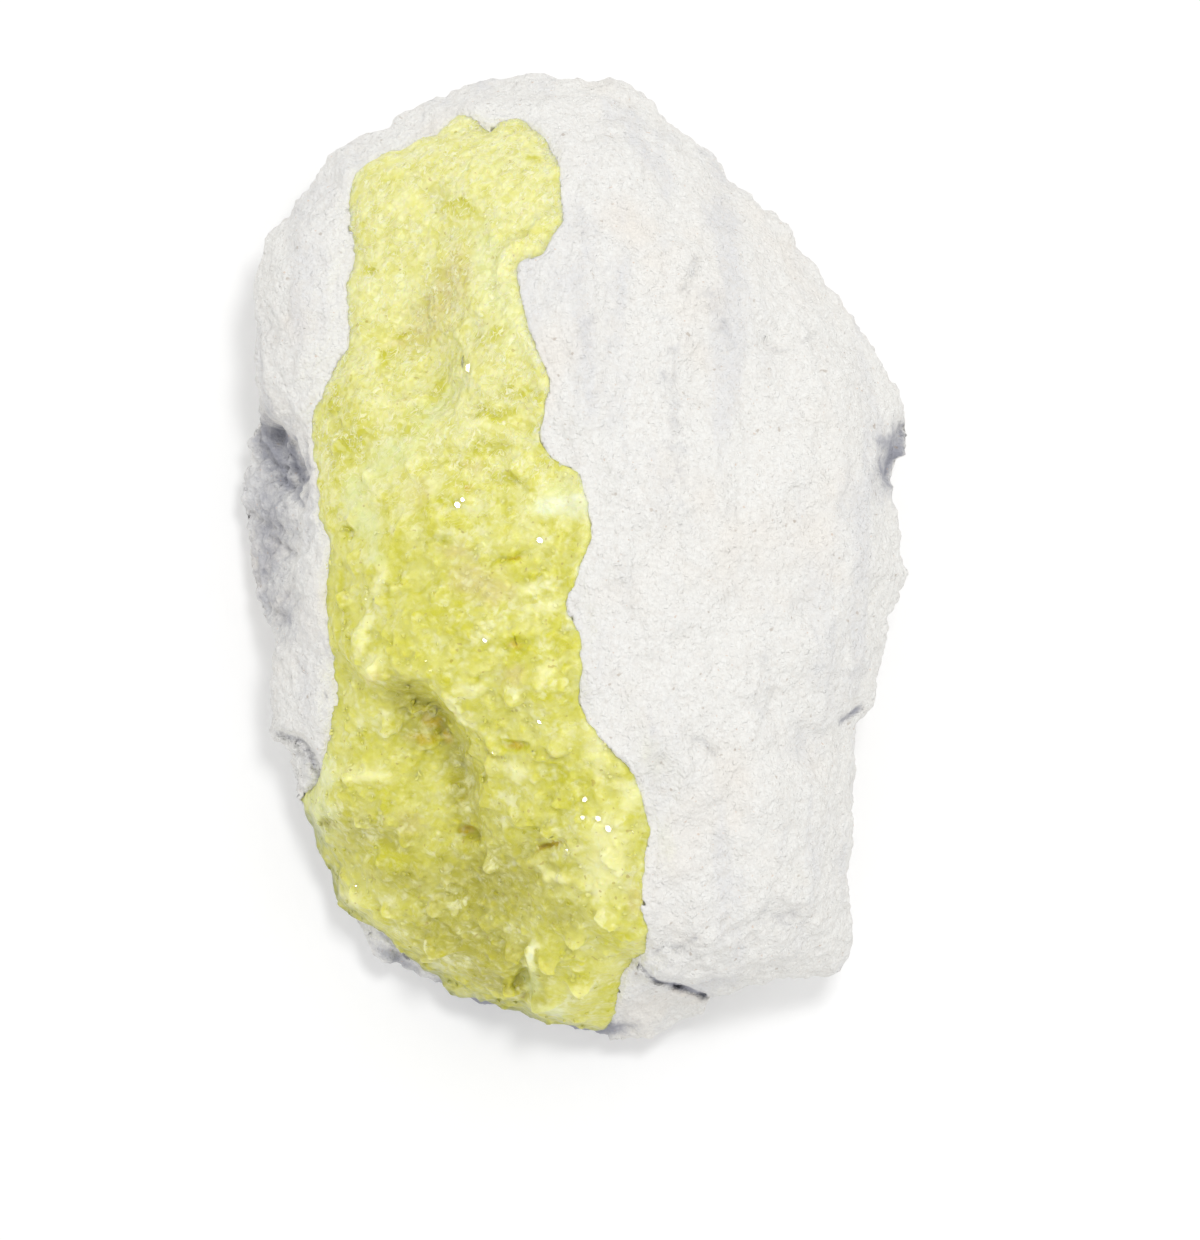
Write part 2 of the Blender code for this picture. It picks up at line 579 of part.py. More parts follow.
def inside(outline, place):
    """True where the place is inside the outline: a ray to the right crosses it an odd number of times."""
    starts, ends = ends_of(outline, closed=True)
    x, y = place
    spans = (starts[:, 1] > y) != (ends[:, 1] > y)
    rise = np.where(spans, ends[:, 1] - starts[:, 1], 1.0)
    crossing = starts[:, 0] + (y - starts[:, 1]) * (ends[:, 0] - starts[:, 0]) / rise
    return bool((spans & (crossing > x)).sum() % 2)


def scattered_places(sheet, count, draw):
    """Places for crystals: well inside the margin, on no steep slope, and spaced apart."""
    places = []
    low = np.min(CRUST_OUTLINE, axis=0)
    high = np.max(CRUST_OUTLINE, axis=0)
    while len(places) < count:
        place = (draw.uniform(low[0], high[0]), draw.uniform(low[1], high[1]))
        if not inside(CRUST_OUTLINE, place):
            continue
        margin, _ = distance_to(CRUST_OUTLINE, np.array([place]))
        crowded = any(math.dist(place, other) < CRYSTAL_SPACING for other in places)
        steep = slope_normal(sheet, place).z < CRYSTAL_STEEPEST
        if margin[0] > CRYSTAL_INSET and not crowded and not steep:
            places.append(place)
    return places


def slope_normal(sheet, place):
    """The crust's outward direction at a place, from its heights a step away each way."""
    x, y = place
    steps = ((SLOPE_STEP, 0.0), (-SLOPE_STEP, 0.0), (0.0, SLOPE_STEP), (0.0, -SLOPE_STEP))
    east, west, north, south = crust_top(sheet, np.array([(x + dx, y + dy) for dx, dy in steps]))
    return Vector((west - east, south - north, 2.0 * SLOPE_STEP)).normalized()


def add_crystals(sheet, cutters):
    """The crystals that stand proud of the crust, larger towards its lower end."""
    draw = random.Random(CRYSTAL_SEED)
    top, foot = CRUST_OUTLINE[0][1], min(y for _, y in CRUST_OUTLINE)
    for number, place in enumerate(scattered_places(sheet, CRYSTAL_COUNT, draw)):
        lower = (top - place[1]) / (top - foot)
        size = draw.uniform(*CRYSTAL_SIZES) + CRYSTAL_LOWER_GAIN * lower
        axis = slope_normal(sheet, place)
        axis += Vector((draw.uniform(-1.0, 1.0), draw.uniform(-1.0, 1.0), 0.0))
        height = crust_top(sheet, np.array([place]))[0] - CRYSTAL_SINK * CRYSTAL_RADIUS * size
        name = f"crystal_{number + 1:02d}"
        spin = draw.uniform(0.0, math.pi)
        where = (place[0], place[1], height)
        crystal(name, CRYSTAL_LENGTH * size, CRYSTAL_RADIUS * size, where, axis, spin, cutters)
    for name, (x, y, length, radius, tilt, compass) in NAMED_CRYSTALS.items():
        axis = Vector(facing_direction(compass, 90.0 - tilt))
        height = crust_top(sheet, np.array([(x, y)]))[0] - NAMED_CRYSTAL_SINK * radius
        crystal(name, length, radius, (x, y, height), axis, 0.0, cutters)


def build_crust(sheet, cutters, collection):
    outline = grown(CRUST_OUTLINE, CRUST_GROWTH)
    crust = slab("sulfur_crust", outline, CRUST_BLANK_HEIGHT, CRUST_VOXEL, collection)
    shape_crust(crust.data, sheet)
    relax(crust.data)
    add_decimate(crust, CRUST_TRIANGLES)
    crystals = new_collection("crystals", cutters)
    add_crystals(sheet, crystals)
    grow_together(crust, crystals)
    crust.data.materials.append(matte_material("sulfur", SULFUR_COLOUR, SULFUR_ROUGHNESS))
    return crust


def centre_over_origin(collection):
    """Moves every object alike, so that the origin is under the middle of the collection's box."""
    points = np.vstack([points_of(evaluated_mesh(obj)) for obj in collection.objects])
    middle = (points.min(axis=0) + points.max(axis=0)) / 2.0
    for obj in bpy.data.objects:
        obj.location.x -= middle[0] * MM
        obj.location.y -= middle[1] * MM


def main():
    clear_scene()
    parts = new_collection(COLLECTION_NAME)
    cutters = new_collection("cutters")
    sheet = FrontSheet(FRONT_SECTIONS, SHEET_STIFFNESS)
    groove = build_groove(sheet, cutters)
    build_stone(sheet, groove, cutters, parts)
    build_crust(sheet, cutters, parts)
    centre_over_origin(parts)


main()
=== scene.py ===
"""Looks for the native sulfur on matrix: the stone's grain and breaks, and the sulfur's scales and crystals.

The stone and the crust are fine-netted copies of the CAD solids, with their relief modelled into the mesh.
The crust's grains are grown into it, and its clearest crystals stand on it in a mesh of their own. Tables
are in millimetres, and the frame is the CAD model's: the show face looks up, and the stone's long axis is Y.
"""

import math

import bmesh
import bpy
import numpy as np
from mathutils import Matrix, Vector, noise
from mathutils.bvhtree import BVHTree
from mathutils.kdtree import KDTree


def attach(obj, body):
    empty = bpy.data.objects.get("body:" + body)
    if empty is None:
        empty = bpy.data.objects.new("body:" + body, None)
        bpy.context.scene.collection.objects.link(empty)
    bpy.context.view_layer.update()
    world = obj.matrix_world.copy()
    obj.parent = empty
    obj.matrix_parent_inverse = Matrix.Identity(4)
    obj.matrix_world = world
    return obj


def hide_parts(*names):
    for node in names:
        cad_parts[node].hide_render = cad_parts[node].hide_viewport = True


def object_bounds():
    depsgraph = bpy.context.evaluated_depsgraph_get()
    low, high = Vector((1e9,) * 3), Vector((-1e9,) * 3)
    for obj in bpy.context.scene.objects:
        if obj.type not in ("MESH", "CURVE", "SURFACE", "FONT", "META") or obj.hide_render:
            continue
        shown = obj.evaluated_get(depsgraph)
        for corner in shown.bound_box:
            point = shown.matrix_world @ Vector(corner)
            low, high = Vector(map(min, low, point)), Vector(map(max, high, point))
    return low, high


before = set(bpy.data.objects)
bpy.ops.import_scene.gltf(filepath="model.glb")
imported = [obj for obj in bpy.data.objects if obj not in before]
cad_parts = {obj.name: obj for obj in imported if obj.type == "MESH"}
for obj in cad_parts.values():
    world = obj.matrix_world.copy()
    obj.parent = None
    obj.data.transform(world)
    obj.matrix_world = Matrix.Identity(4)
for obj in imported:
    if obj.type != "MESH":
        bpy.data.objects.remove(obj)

CAD_BOX = [list(corner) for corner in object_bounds()]
MM = 0.001
PIECE_TRIANGLES = 190000    # the most that a piece keeps
SKY = 60.0                  # a height over the whole object, to look down from
BESIDE = -1000.0            # the height that stands for none

# Camera and light

CAMERA_PLACE = (2.68, -5.30, 493.0)
CAMERA_LENS = 150.0
KEY_PLACE = (75.0, 120.0, 520.0)
KEY_SIZE = 80.0
KEY_POWER = 0.78
SKY_STRENGTH = 0.85
FLOOR_SIZE = 1600.0

# The stone

STONE_VOXEL = 0.36
STONE_SMOOTHING = 2
STONE_BACK = 1.2            # the stone keeps fewer faces under this height
STONE_COVERED = 1.5         # and from this far inside the crust's outline
STONE_WAVES = ((7.0, 0.25), (2.6, 0.18), (1.1, 0.17))   # lump size, height
STONE_RIDGES = (-80.0, 8.0, 2.3, 0.34)   # turn of their length from X, length, width, height
STONE_SCALLOP_SIZE = 3.2    # the scallops along the stone's own outline
STONE_SCALLOP_HEIGHT = 0.6
STONE_STEEP_SHARE = 1.1     # how much rougher the stone is where it is steep
STONE_CRUMB_SIZE = 0.95
STONE_CRUMB_HEIGHT = 0.20
STONE_STREAK_TURN = -60.0   # the streaks broken across the hollow in the stone's left face
STONE_STREAK_LENGTH = 3.0
STONE_STREAK_WIDTH = 0.85
STONE_STREAK_DEPTH = 0.8
STONE_PIT_SIZE = 2.0
STONE_PIT_LEVEL = 0.25
STONE_PIT_DEPTH = 0.7

# Creases broken into the stone: depth, half width, the way they are cut, how much painted shade they get,
# and the line of X and Y.
STONE_CREASES = (
    (1.2, 1, (0.75, 0, -0.66), 0.85, ((-28.4, 12.2), (-27.8, 10.2), (-26.8, 8.4), (-26.2, 7.2))),
    (0.8, 0.6, (0.75, 0, -0.66), 0.8, ((-28.9, 10.4), (-28.2, 9), (-27.2, 7.6))),
    (1.1, 0.7, (0.6, 0, -0.8), 0.95, ((-27.4, 12.4), (-26.3, 11.2), (-25.6, 9.4), (-24.9, 7.8))),
    (0.8, 0.45, (0.8, 0, -0.6), 0.45, ((-30.5, 4.7), (-29, 3.6), (-27.6, 3.3))),
    (0.6, 0.4, (0.6, 0, -0.8), 0.45, ((-27.4, 2.1), (-26, 1))),
    (0.7, 0.45, (0.8, 0, -0.6), 0.45, ((-28.8, -4.2), (-26.9, -5))),
    (0.9, 0.45, (0.5, 0, -0.86), 0.5, ((-27.2, -15.9), (-25, -16.6), (-24.1, -17.8), (-23.4, -20.1))),
    (1.4, 0.36, (0, 0, -1), 1.3, ((9.6, -39.1), (10.9, -39.6), (12.5, -40.4))),
    (0.9, 0.24, (0, 0, -1), 0.9, ((7.2, -37.9), (8, -38.6), (9, -38.8), (9.8, -39.3))),
    (0.5, 0.22, (0, 0, -1), 0.4, ((5.3, -36.4), (6.4, -36.9), (7.2, -37.9))),
    (0.8, 0.4, (0, 0, -1), 0.7, ((24.8, -14.5), (26.6, -13.4))),
    (1, 0.6, (-0.6, 0, -0.8), 0.9, ((31, 12.6), (30, 10.2), (29.6, 8.2))),
    (0.6, 0.35, (0, 0, -1), 0.3, ((10, 24.4), (10.9, 25.6), (11.3, 27.4))),
    (0.5, 0.35, (0, 0, -1), 0.25, ((17.4, 20.2), (18.4, 19), (19.8, 19.2))),
    (0.5, 0.3, (0, 0, -1), 0.25, ((21, 20), (22.2, 20.6))),
    (0.6, 0.35, (0, 0, -1), 0.35, ((11, -16), (12, -16.2), (12.9, -17.3))),
    (0.6, 0.35, (0, 0, -1), 0.35, ((7.6, -35.6), (8.6, -34.6), (9.6, -35.2), (11.4, -34))),
    (0.5, 0.35, (0, 0, -1), 0.3, ((17.4, -31.6), (19, -32.4), (20.2, -32))),
)

# Patches are ovals: X, Y, half length, half width, the turn of the length from X in degrees, and strength.
# Painted shade on the stone's left face, its right notch and low edges, with some faint grey streaks.
STONE_PAINTED_SHADE_AND_GREY = (
    (-27.7, 10.8, 4.6, 1.9, -58, 1.05), (-28.2, 3, 10.5, 2.9, 86, 0.84), (-25.6, 9.6, 2.8, 0.9, -60, 0.7),
    (-26.4, -4.6, 3.8, 1.6, 86, 0.7), (-24.8, -18.4, 3.2, 1.3, -60, 0.42), (-16.8, -35, 2.6, 1.2, -40, 0.5),
    (30, 9.6, 3.2, 2.1, 75, 1.4), (3, 24, 7, 1.3, -75, 0.25), (17, -12, 6, 0.9, 80, 0.25),
    (9.4, 12, 9, 1.1, -84, 0.4), (14, 21, 5, 1, -60, 0.4), (1.6, 20, 7, 0.8, -86, 0.35),
    (-26, 20, 5, 1, 80, 0.12), (-23.6, -8, 6, 1, 86, 0.1), (19, -32.4, 2.6, 1.4, 20, 0.3),
    (9.6, -35.8, 2.6, 1.2, 20, 0.35),
)
# Painted shade on the stone under the crust's overhanging foot.
STONE_FOOT_PAINTED_SHADE = (
    (-9, -41.4, 5, 1.8, -15, 1.5), (0.8, -43.8, 4.4, 1, 5, 1.5), (-16.6, -37.2, 4, 0.9, -35, 0.7),
)
# Hollows carved into the stone's left face, which also get painted shade.
STONE_HOLLOW = ((-27.4, 9.6, 5.4, 2.2, -62, 1), (-25.4, 9.6, 2.8, 1.1, -60, 0.8))
STONE_ROUGH = (
    (-28.2, 3, 12, 3.8, 85, 1.8), (-26.6, 20, 6, 3, 80, 0.8), (-24.6, -10, 6, 2.4, 86, 0.7),
    (-25.2, -18.4, 4, 1.8, -60, 1.4), (-16.8, -35, 3, 1.5, -40, 1), (9, -35.6, 4.5, 1.8, 20, 0.9),
    (19, -32.4, 3.2, 1.8, 20, 0.7), (17, 20, 6, 3, -30, 0.5), (8, 26, 4, 3, -60, 0.5),
)
STONE_WARMTH = (
    (5.4, 30.4, 3.4, 2.2, -40, 0.9), (8, 27.2, 2.4, 1.6, 20, 0.6), (12.2, 18.2, 3.6, 1.6, -30, 0.6),
    (-24.9, 22.3, 2.4, 1.6, 80, 0.9), (14.4, -19, 2.6, 4.2, 0, 0.6), (-1.6, 14.6, 1.4, 2.4, 0, 0.5),
    (10.4, -40.2, 2, 0.5, -20, 1),
)
STONE_STAIN = ((7.4, -17.6, 1.4, 2.8, 20, 0.6), (8.6, -25, 1, 3.2, 0, 0.5), (21, -28.6, 2, 1.4, 0, 0.3))

# The crust

CRUST_VOXEL = 0.35
CRUST_SMOOTHING = 2
CRUST_REACH = 1.4           # a wall of the crust that is this near the stone meets it
CRUST_OVERLAP = 0.25        # how far its seat's filler goes into the stone
FILLER_DROP = 1.3           # how far the stone's surface under the crust lies below the crust's
MARGIN_INNER = 0.15         # the stone's level round the seat starts this far inside the crust's outline
MARGIN_OUTER = 1.3          # and ends this far outside it
MARGIN_RISE = 3.0           # a point that lies this far under the level or farther isn't raised to it
MARGIN_REACH = 2.0          # the blur of the level takes in the stone this much farther out
MARGIN_FADE = 1.8           # and has faded away this much farther out
MARGIN_BLURS = 14
MARGIN_SLACK = 0.35         # how far a point near the outline may stand over those round it
FOOT_FROM = -37.0           # the stone's overhanging foot starts at this Y
FOOT_TOP = 7.0              # and reaches up to this height
EDGE_RISE = 0.12            # how far the crust's edge stands over the stone
EDGE_WIDTH = 2.0            # the crust's edge is what lies this near its walls
EDGE_LEVEL_WIDTH = 0.6      # the outer part of the edge, which is level
EDGE_LIMIT = 1.2            # the most that the edge comes up
HORNS_FROM = 10.0           # horns are cut off at more than this Y
HORN_REACH = 1.8            # the middle height is taken this far round each point
HORN_HEIGHT = 0.4           # how far over it a horn may still stand
SETTLE_BLURS = 30
SETTLE_ROUNDS = 12
SETTLE_SLACK = 0.08
LEVEL_BLURS = 8
SCALLOP_SIZE = 1.8          # the scallops along the crust's outline
SCALLOP_DEPTH = 0.28
UNDERSIDE_DROP = 1.8        # the crust is this much thicker than the CAD solid, into the stone
CRUST_WRAP_END = -22.0      # nearer the foot than this, the crust's underside is left where it is
HIDDEN_DEPTH = 0.7          # the crust keeps its fine net down to this far under a surface
SKIN_VOXEL = 0.213
SKIN_WAVES = ((3.4, 0.20), (1.4, 0.10))
STROKE_LENGTH = 1.1
STROKE_WIDTH = 0.55
STROKE_HEIGHT = 0.10
STROKE_TURNS = (50.0, 8.0)  # on the crust's upper part, and on its lower part
FACET_SIZE = 1.15
FACET_SLOPE = 0.25
FACET_BLURS = 4

# Pushes along Y of the crust's outline, at its top end: ovals, with a distance for strength.
CRUST_OUTLINE_PUSHES = (
    (-13.4, 38.7, 1.1, 1.1, 0, 0.3), (-15.2, 37.4, 0.8, 0.8, 0, -0.3), (-17, 36.2, 1.1, 1.1, 0, 0.3),
    (-7.5, 40.4, 0.8, 1.2, 0, -0.6), (-10.7, 39.9, 1.7, 1.6, 0, 0.35), (-4.8, 40, 1.7, 1.2, 0, 0.35),
)

# Hollows and lumps in the crust: ovals as above, with a height for strength.
CRUST_FORMS = (
    (-9.5, -24.5, 0.65, 0.5, 0, -0.9), (-2, -25.8, 1.1, 0.34, 30, -0.8), (-13.2, -13.8, 1.8, 1, -40, -0.9),
    (-11.6, -15.6, 1.2, 0.9, -60, -0.8), (-20.1, 2.7, 0.8, 0.4, 0, -0.4), (-4.9, -7.3, 1.5, 0.5, 0, -0.4),
    (-4.7, -16.8, 1.5, 0.5, -15, -0.6), (-1.3, -19.1, 1.4, 1, 0, -0.35), (-11.7, 1.8, 1.3, 0.28, 10, -0.35),
    (-5.3, 0.3, 2, 0.35, 10, -0.4), (-22.6, -24.1, 0.8, 0.35, -30, -0.4), (-7.2, 10.2, 2, 0.6, 0, -0.3),
    (-5.4, 7.2, 2.2, 0.6, -20, -0.3), (-6.3, 13.5, 2, 0.5, 5, -0.3), (-4.7, -38.8, 0.45, 1.8, 0, -0.8),
    (-0.7, 5, 2.7, 0.9, 5, 0.4), (-9.9, 11.1, 1.1, 0.7, 20, 0.35), (-17, -1.7, 1.6, 0.8, 60, 0.4),
    (-18.6, -6.2, 2.2, 0.8, 75, 0.4), (-10.6, -13, 1.7, 0.45, -60, 0.5), (-8.7, -11.7, 1.3, 0.6, 0, 0.35),
    (-4.9, -18.9, 1.3, 0.8, 0, 0.4), (-18.7, -19.4, 3, 0.9, 0, 0.3), (-23.8, -22.6, 1.3, 0.9, 30, 0.4),
    (-21.3, -31.3, 1.5, 1.1, 0, 0.35), (-1.9, -28.3, 1.7, 0.5, -25, 0.4), (2.8, -29, 1.3, 1.1, 0, 0.4),
    (5.1, -21.2, 0.9, 1.3, 0, 0.3),
)

# Where the crust's colour changes
CRUST_PALE = (
    (-6.2, 26, 2.2, 1.5, 60, 0.8), (-4.7, 21.5, 3.4, 1.3, -65, 0.9), (-7.6, 16.4, 1.3, 0.5, 20, 0.7),
    (-9.9, 11.1, 1.3, 0.8, 20, 1), (-7.2, 12, 1.6, 0.6, 0, 0.7), (-0.7, 5, 2.7, 0.9, 5, 1.1),
    (-17, -1.7, 1.7, 0.8, 60, 0.9), (-18.6, -6.2, 2.3, 0.8, 75, 0.8), (-17.8, -9.4, 1.6, 0.8, 70, 0.8),
    (-3.8, -2.4, 1.3, 0.6, 0, 0.8), (-1.8, -4, 1, 0.5, 20, 0.9), (-2.2, -10.2, 1.6, 0.7, 45, 0.8),
    (-10.6, -13, 1.7, 0.5, -60, 1), (-8.7, -11.7, 1.4, 0.7, 0, 0.9), (-4.9, -18.9, 1.4, 0.9, 0, 0.8),
    (-19.2, -14.7, 0.8, 0.6, 0, 0.9), (-18.7, -19.4, 3.2, 1, 0, 0.8), (-21.3, -31.3, 1.7, 1.2, 0, 0.8),
    (-1.9, -28.3, 1.8, 0.6, -25, 0.9), (2.8, -29, 1.5, 1.3, 0, 0.9), (5.1, -21.2, 1, 1.5, 0, 0.9),
    (0.5, -26.1, 1.5, 0.7, 0, 0.7), (3.2, -26.6, 2.2, 5, 0, 0.75), (2.4, -17.6, 1.6, 3, 20, 0.6),
    (-3.5, -35.9, 0.6, 1.5, -10, 1), (0.5, -39.3, 1.8, 0.9, 0, 0.5),
)
CRUST_GREEN = (
    (-10.4, 15.3, 1.4, 0.9, 60, 0.8), (-13, 13, 3, 1.3, 50, 0.9), (-16.5, 9.5, 3.2, 1.4, 45, 0.9),
    (-19.6, 6, 2.2, 1.4, 80, 0.9), (-18.6, 3.8, 2.4, 1.2, -70, 0.8), (-17.2, 0.5, 2, 1, -60, 0.7),
    (-0.7, 5.4, 3, 1.3, 5, 0.9), (-3.6, -38.2, 0.8, 2.4, 4, 1), (-2.3, -41.7, 1.8, 0.8, 0, 1),
    (-22.8, -19.6, 1.2, 2.4, 0, 0.8), (-23.4, -23.6, 1.8, 2.6, 0, 1), (-6.6, 25.2, 4.6, 1.5, -70, 1),
    (-4.8, 20.6, 2.6, 1.2, -65, 0.7),
)
CRUST_WHITE = ((-0.7, 5, 2.8, 0.9, 5, 1.1), (-3.5, -35.8, 0.5, 1, 0, 0.8), (-6.4, 27, 1, 0.6, 60, 0.5))
CRUST_DEEP = (
    (-9.8, 31.8, 2, 0.9, -20, 1), (-3.2, 36.3, 0.9, 0.7, 0, 0.8), (-18.1, 26.6, 1.2, 0.7, 0, 1),
    (-16.7, 18.6, 1, 0.6, 30, 1), (-15.5, 20.7, 0.9, 0.5, 0, 0.9), (-7.2, 20.1, 1.5, 0.8, 10, 0.9),
    (-4, 14.8, 1.7, 0.7, 0, 1), (-6.3, 13.5, 2.1, 0.8, 5, 1), (-11.8, 15.8, 1.1, 0.6, 40, 0.8),
    (-21.4, 14.8, 2.4, 1, 60, 0.9), (-7.2, 10.2, 2.1, 0.8, 0, 1), (-5.2, 7.6, 2.4, 0.8, -20, 1),
    (-9, 6.3, 0.8, 0.6, 0, 1.2), (-11.2, 5.5, 0.8, 0.5, 0, 1), (-5.3, 0.3, 2.1, 0.6, 10, 1.2),
    (-11.7, 1.8, 1.4, 0.4, 10, 0.9), (-4.9, -7.3, 1.8, 0.8, 0, 1.4), (-20.1, 2.7, 1, 0.6, 0, 1.2),
    (-12.5, -5.3, 1.6, 0.9, 0, 0.7), (-2.9, -11.7, 1.4, 0.9, 0, 1), (-11.2, -10.8, 1.3, 0.9, 0, 1),
    (-4.7, -16.8, 1.6, 0.6, -15, 1.4), (-1.3, -19.1, 1.9, 1.3, 0, 1), (-17.2, -27.1, 2.6, 1.1, -10, 0.9),
    (3.9, -34.3, 2.2, 0.9, 0, 1), (3.6, -39.9, 1.3, 2, 0, 0.8), (-21, -3, 0.9, 4, 0, 0.6),
    (-20.4, 11.4, 1.8, 3.6, -20, 0.8), (-14.6, 12.4, 1.6, 1, 30, 0.8), (-15.6, 1, 1.4, 3, 0, 0.6),
)
# Beige blush, and painted shade in the valley's band on the upper part (the first three rows).
CRUST_BLUSH_AND_SHADE = (
    (-11.2, 24.6, 4.2, 1.9, 65, 1.1), (-13.6, 21.2, 3, 1.6, 40, 0.95), (-15.8, 19.6, 1.6, 0.8, 30, 0.7),
    (-8.5, -1.7, 2.4, 1.8, 0, 0.9), (-6.7, -2.8, 1.8, 1.4, 0, 0.8), (-10.4, 0.9, 1.6, 0.9, 0, 0.8),
    (-4.9, -10.2, 1.4, 1.1, 0, 0.8), (5.9, -30.3, 0.9, 2, 0, 0.7), (-17.9, -10.8, 0.6, 0.5, 0, 1.3),
    (-8.6, 8.4, 1.8, 0.8, -20, 0.6), (-13.6, 6, 2.2, 1, 60, 0.5), (-14.6, -24, 1.6, 1, 0, 0.6),
)
# Painted shade, olive: in the hollows, down the valley, on the lower left, and beside the foot block.
CRUST_OLIVE_PAINTED_SHADE = (
    (-14.5, -11.4, 2, 0.9, -20, 0.8), (-13, -13.7, 1.9, 1.2, -40, 1.1), (-15.2, -12.6, 2, 1.4, -30, 0.9),
    (-13.8, -15.6, 2, 1.3, -30, 0.8), (-11.6, -15.5, 1.4, 1, -60, 1.3), (-10.3, -17.8, 1.6, 1.2, -70, 0.9),
    (-10, -20.8, 2.8, 1.6, 80, 0.8), (-7.4, -29.5, 7, 4.6, 10, 0.8), (-9.8, -35, 6, 3.6, -20, 0.8),
    (-18, -26, 4.6, 2.8, -30, 0.7), (-8.8, -24, 3, 4, 0, 0.45), (-3, -40.6, 0.9, 1.6, 0, 0.5),
    (-22.6, -24.1, 0.8, 0.45, -30, 1), (-7.5, -38.6, 2.8, 1.1, -20, 1.2), (-4.9, -38.8, 0.5, 1.8, 0, 1.1),
    (-0.9, -32.2, 2.6, 1.8, 0, 0.6), (-15.5, -29, 5.5, 2.6, -25, 0.6),
)
CRUST_GOLD = (
    (-9.5, -24.5, 0.65, 0.5, 0, 1.2), (-2, -25.8, 1.1, 0.32, 30, 1.2), (-4.9, -7.3, 0.8, 0.35, 0, 0.8),
    (-4.7, -16.8, 0.9, 0.3, -15, 0.9), (-9, 6.3, 0.5, 0.4, 0, 0.8), (-12.6, -14.6, 1.2, 0.7, -40, 0.9),
    (-13.8, -16.2, 1.5, 0.7, -10, 0.7), (-11.2, -15.9, 0.9, 0.5, -60, 1), (-5, 0.2, 1.4, 0.25, 10, 0.7),
    (-14.8, 14.8, 1, 0.3, 40, 0.5),
)
CRUST_SMOOTH = CRUST_GREEN + (
    (-5, 23, 5, 1.8, -65, 1), (0.8, -39.6, 4.4, 2.8, 0, 1.2), (-8.5, -1.7, 2.4, 1.8, 0, 0.6),
)

# The grains and crystals

GRAIN_SEED = 5
CHUNK_KINDS = 12            # how many different lumps the grains are made from
GRAIN_COUNT = 1500
GRAIN_MARGIN = 0.9          # no grain stands nearer the crust's outline than this
PRISM_PLACE = (-3.5, -36.2)
PRISM_AXIS = (-0.10, 0.80, 0.60)
PRISM_RADIUS = 0.65
PRISM_LENGTH = 3.0
CRYSTAL_COUNT = 520
GLINTS = (
    (-9.1, 17.3, 0.50), (-10.1, 5.0, 0.40), (-9.6, 5.5, 0.30), (-2.7, 1.8, 0.38), (-7.6, -7.1, 0.30),
    (-2.7, -14.4, 0.28), (1.3, -21.4, 0.32), (1.1, -23.0, 0.30), (2.5, -23.1, 0.38), (3.4, -24.0, 0.42),
)


def new_object(name, data):
    obj = bpy.data.objects.new(name, data)
    bpy.context.scene.collection.objects.link(obj)
    return obj


def evaluated_mesh(obj):
    bpy.context.view_layer.update()
    graph = bpy.context.evaluated_depsgraph_get()
    return bpy.data.meshes.new_from_object(obj.evaluated_get(graph))


def vectors_of(items, name):
    """One vector for each item of a mesh, one row each."""
    values = np.empty(len(items) * 3)
    items.foreach_get(name, values)
    return values.reshape(-1, 3)


def points_of(mesh):
    """The mesh's points, in millimetres, one row each."""
    return vectors_of(mesh.vertices, "co") / MM


def points_and_normals(mesh):
    return points_of(mesh), vectors_of(mesh.vertices, "normal")


def set_points(mesh, points):
    mesh.vertices.foreach_set("co", (points * MM).ravel())
    mesh.update()


def set_points_in_box(mesh, points):
    low, high = np.array(CAD_BOX) / MM
    set_points(mesh, np.clip(points, low, high))


def add_number(mesh, name, values):
    """Stores one number at each point of a mesh, for its material."""
    attribute = mesh.attributes.new(name, "FLOAT", "POINT")
    attribute.data.foreach_set("value", np.asarray(values, np.float32))


# Noise, distances and patches, at each of many points


def waves(points, size, shift=0.0):
    """Smooth noise between -1 and 1, in lumps of about one size."""
    places = points / size + shift
    return np.array([noise.noise(Vector(place)) for place in places])


def crumbs(points, size):
    """The distance to the nearest crumb's middle, in crumb sizes."""
    return np.array([noise.voronoi(Vector(place))[0][0] for place in points / size])


def warp(points, size):
    """A small push in X, Y and Z at each point, in lumps of about one size."""
    return np.column_stack([waves(points, size, shift) for shift in (3.0, 13.0, 23.0)])


def turned(points, turn):
    """The points turned about Z so that a length at this turn from X comes to lie along X."""
    turn = math.radians(turn)
    along = points[:, 0] * math.cos(turn) + points[:, 1] * math.sin(turn)
    across = points[:, 1] * math.cos(turn) - points[:, 0] * math.sin(turn)
    return np.column_stack([along, across, points[:, 2:]])


def facets(points, size):
    """Crystal faces: a height from each face's own slope, and a random number of its own from -1 to 1."""
    places = points / size
    middles = np.array([noise.voronoi(Vector(place))[1][0][:] for place in places])
    spread = np.sin(middles @ np.array((12.9898, 78.233, 37.719))) * 43758.5453
    chance = spread - np.floor(spread)
    turns = math.tau * chance
    offsets = places - middles
    heights = size * (offsets[:, 0] * np.cos(turns) + offsets[:, 1] * np.sin(turns))
    return heights, np.mod(chance * 57.31, 1.0) * 2.0 - 1.0


def distance_to(line, places):
    """How far each place is from an open line."""
    starts, ends = np.array(line[:-1]), np.array(line[1:])
    runs = ends - starts
    offsets = places[:, None, :] - starts[None, :, :]
    along = np.clip((offsets * runs).sum(axis=2) / (runs * runs).sum(axis=1), 0.0, 1.0)
    gaps = offsets - along[:, :, None] * runs[None, :, :]
    return np.hypot(gaps[:, :, 0], gaps[:, :, 1]).min(axis=1)


def in_oval(places, oval):
    """1 in the middle of an oval patch, about a third on its edge, and 0 well outside it."""
    x, y, length, width, turn = oval[:5]
    along, across = turned(places[:, :2] - (x, y), turn).T
    return np.exp(-((along / length) ** 2 + (across / width) ** 2))


def patch_share(places, patches):
    """The strongest of some oval patches at each place."""
    share = np.zeros(len(places))
    for patch in patches:
        share = np.maximum(share, patch[5] * in_oval(places, patch))
    return share


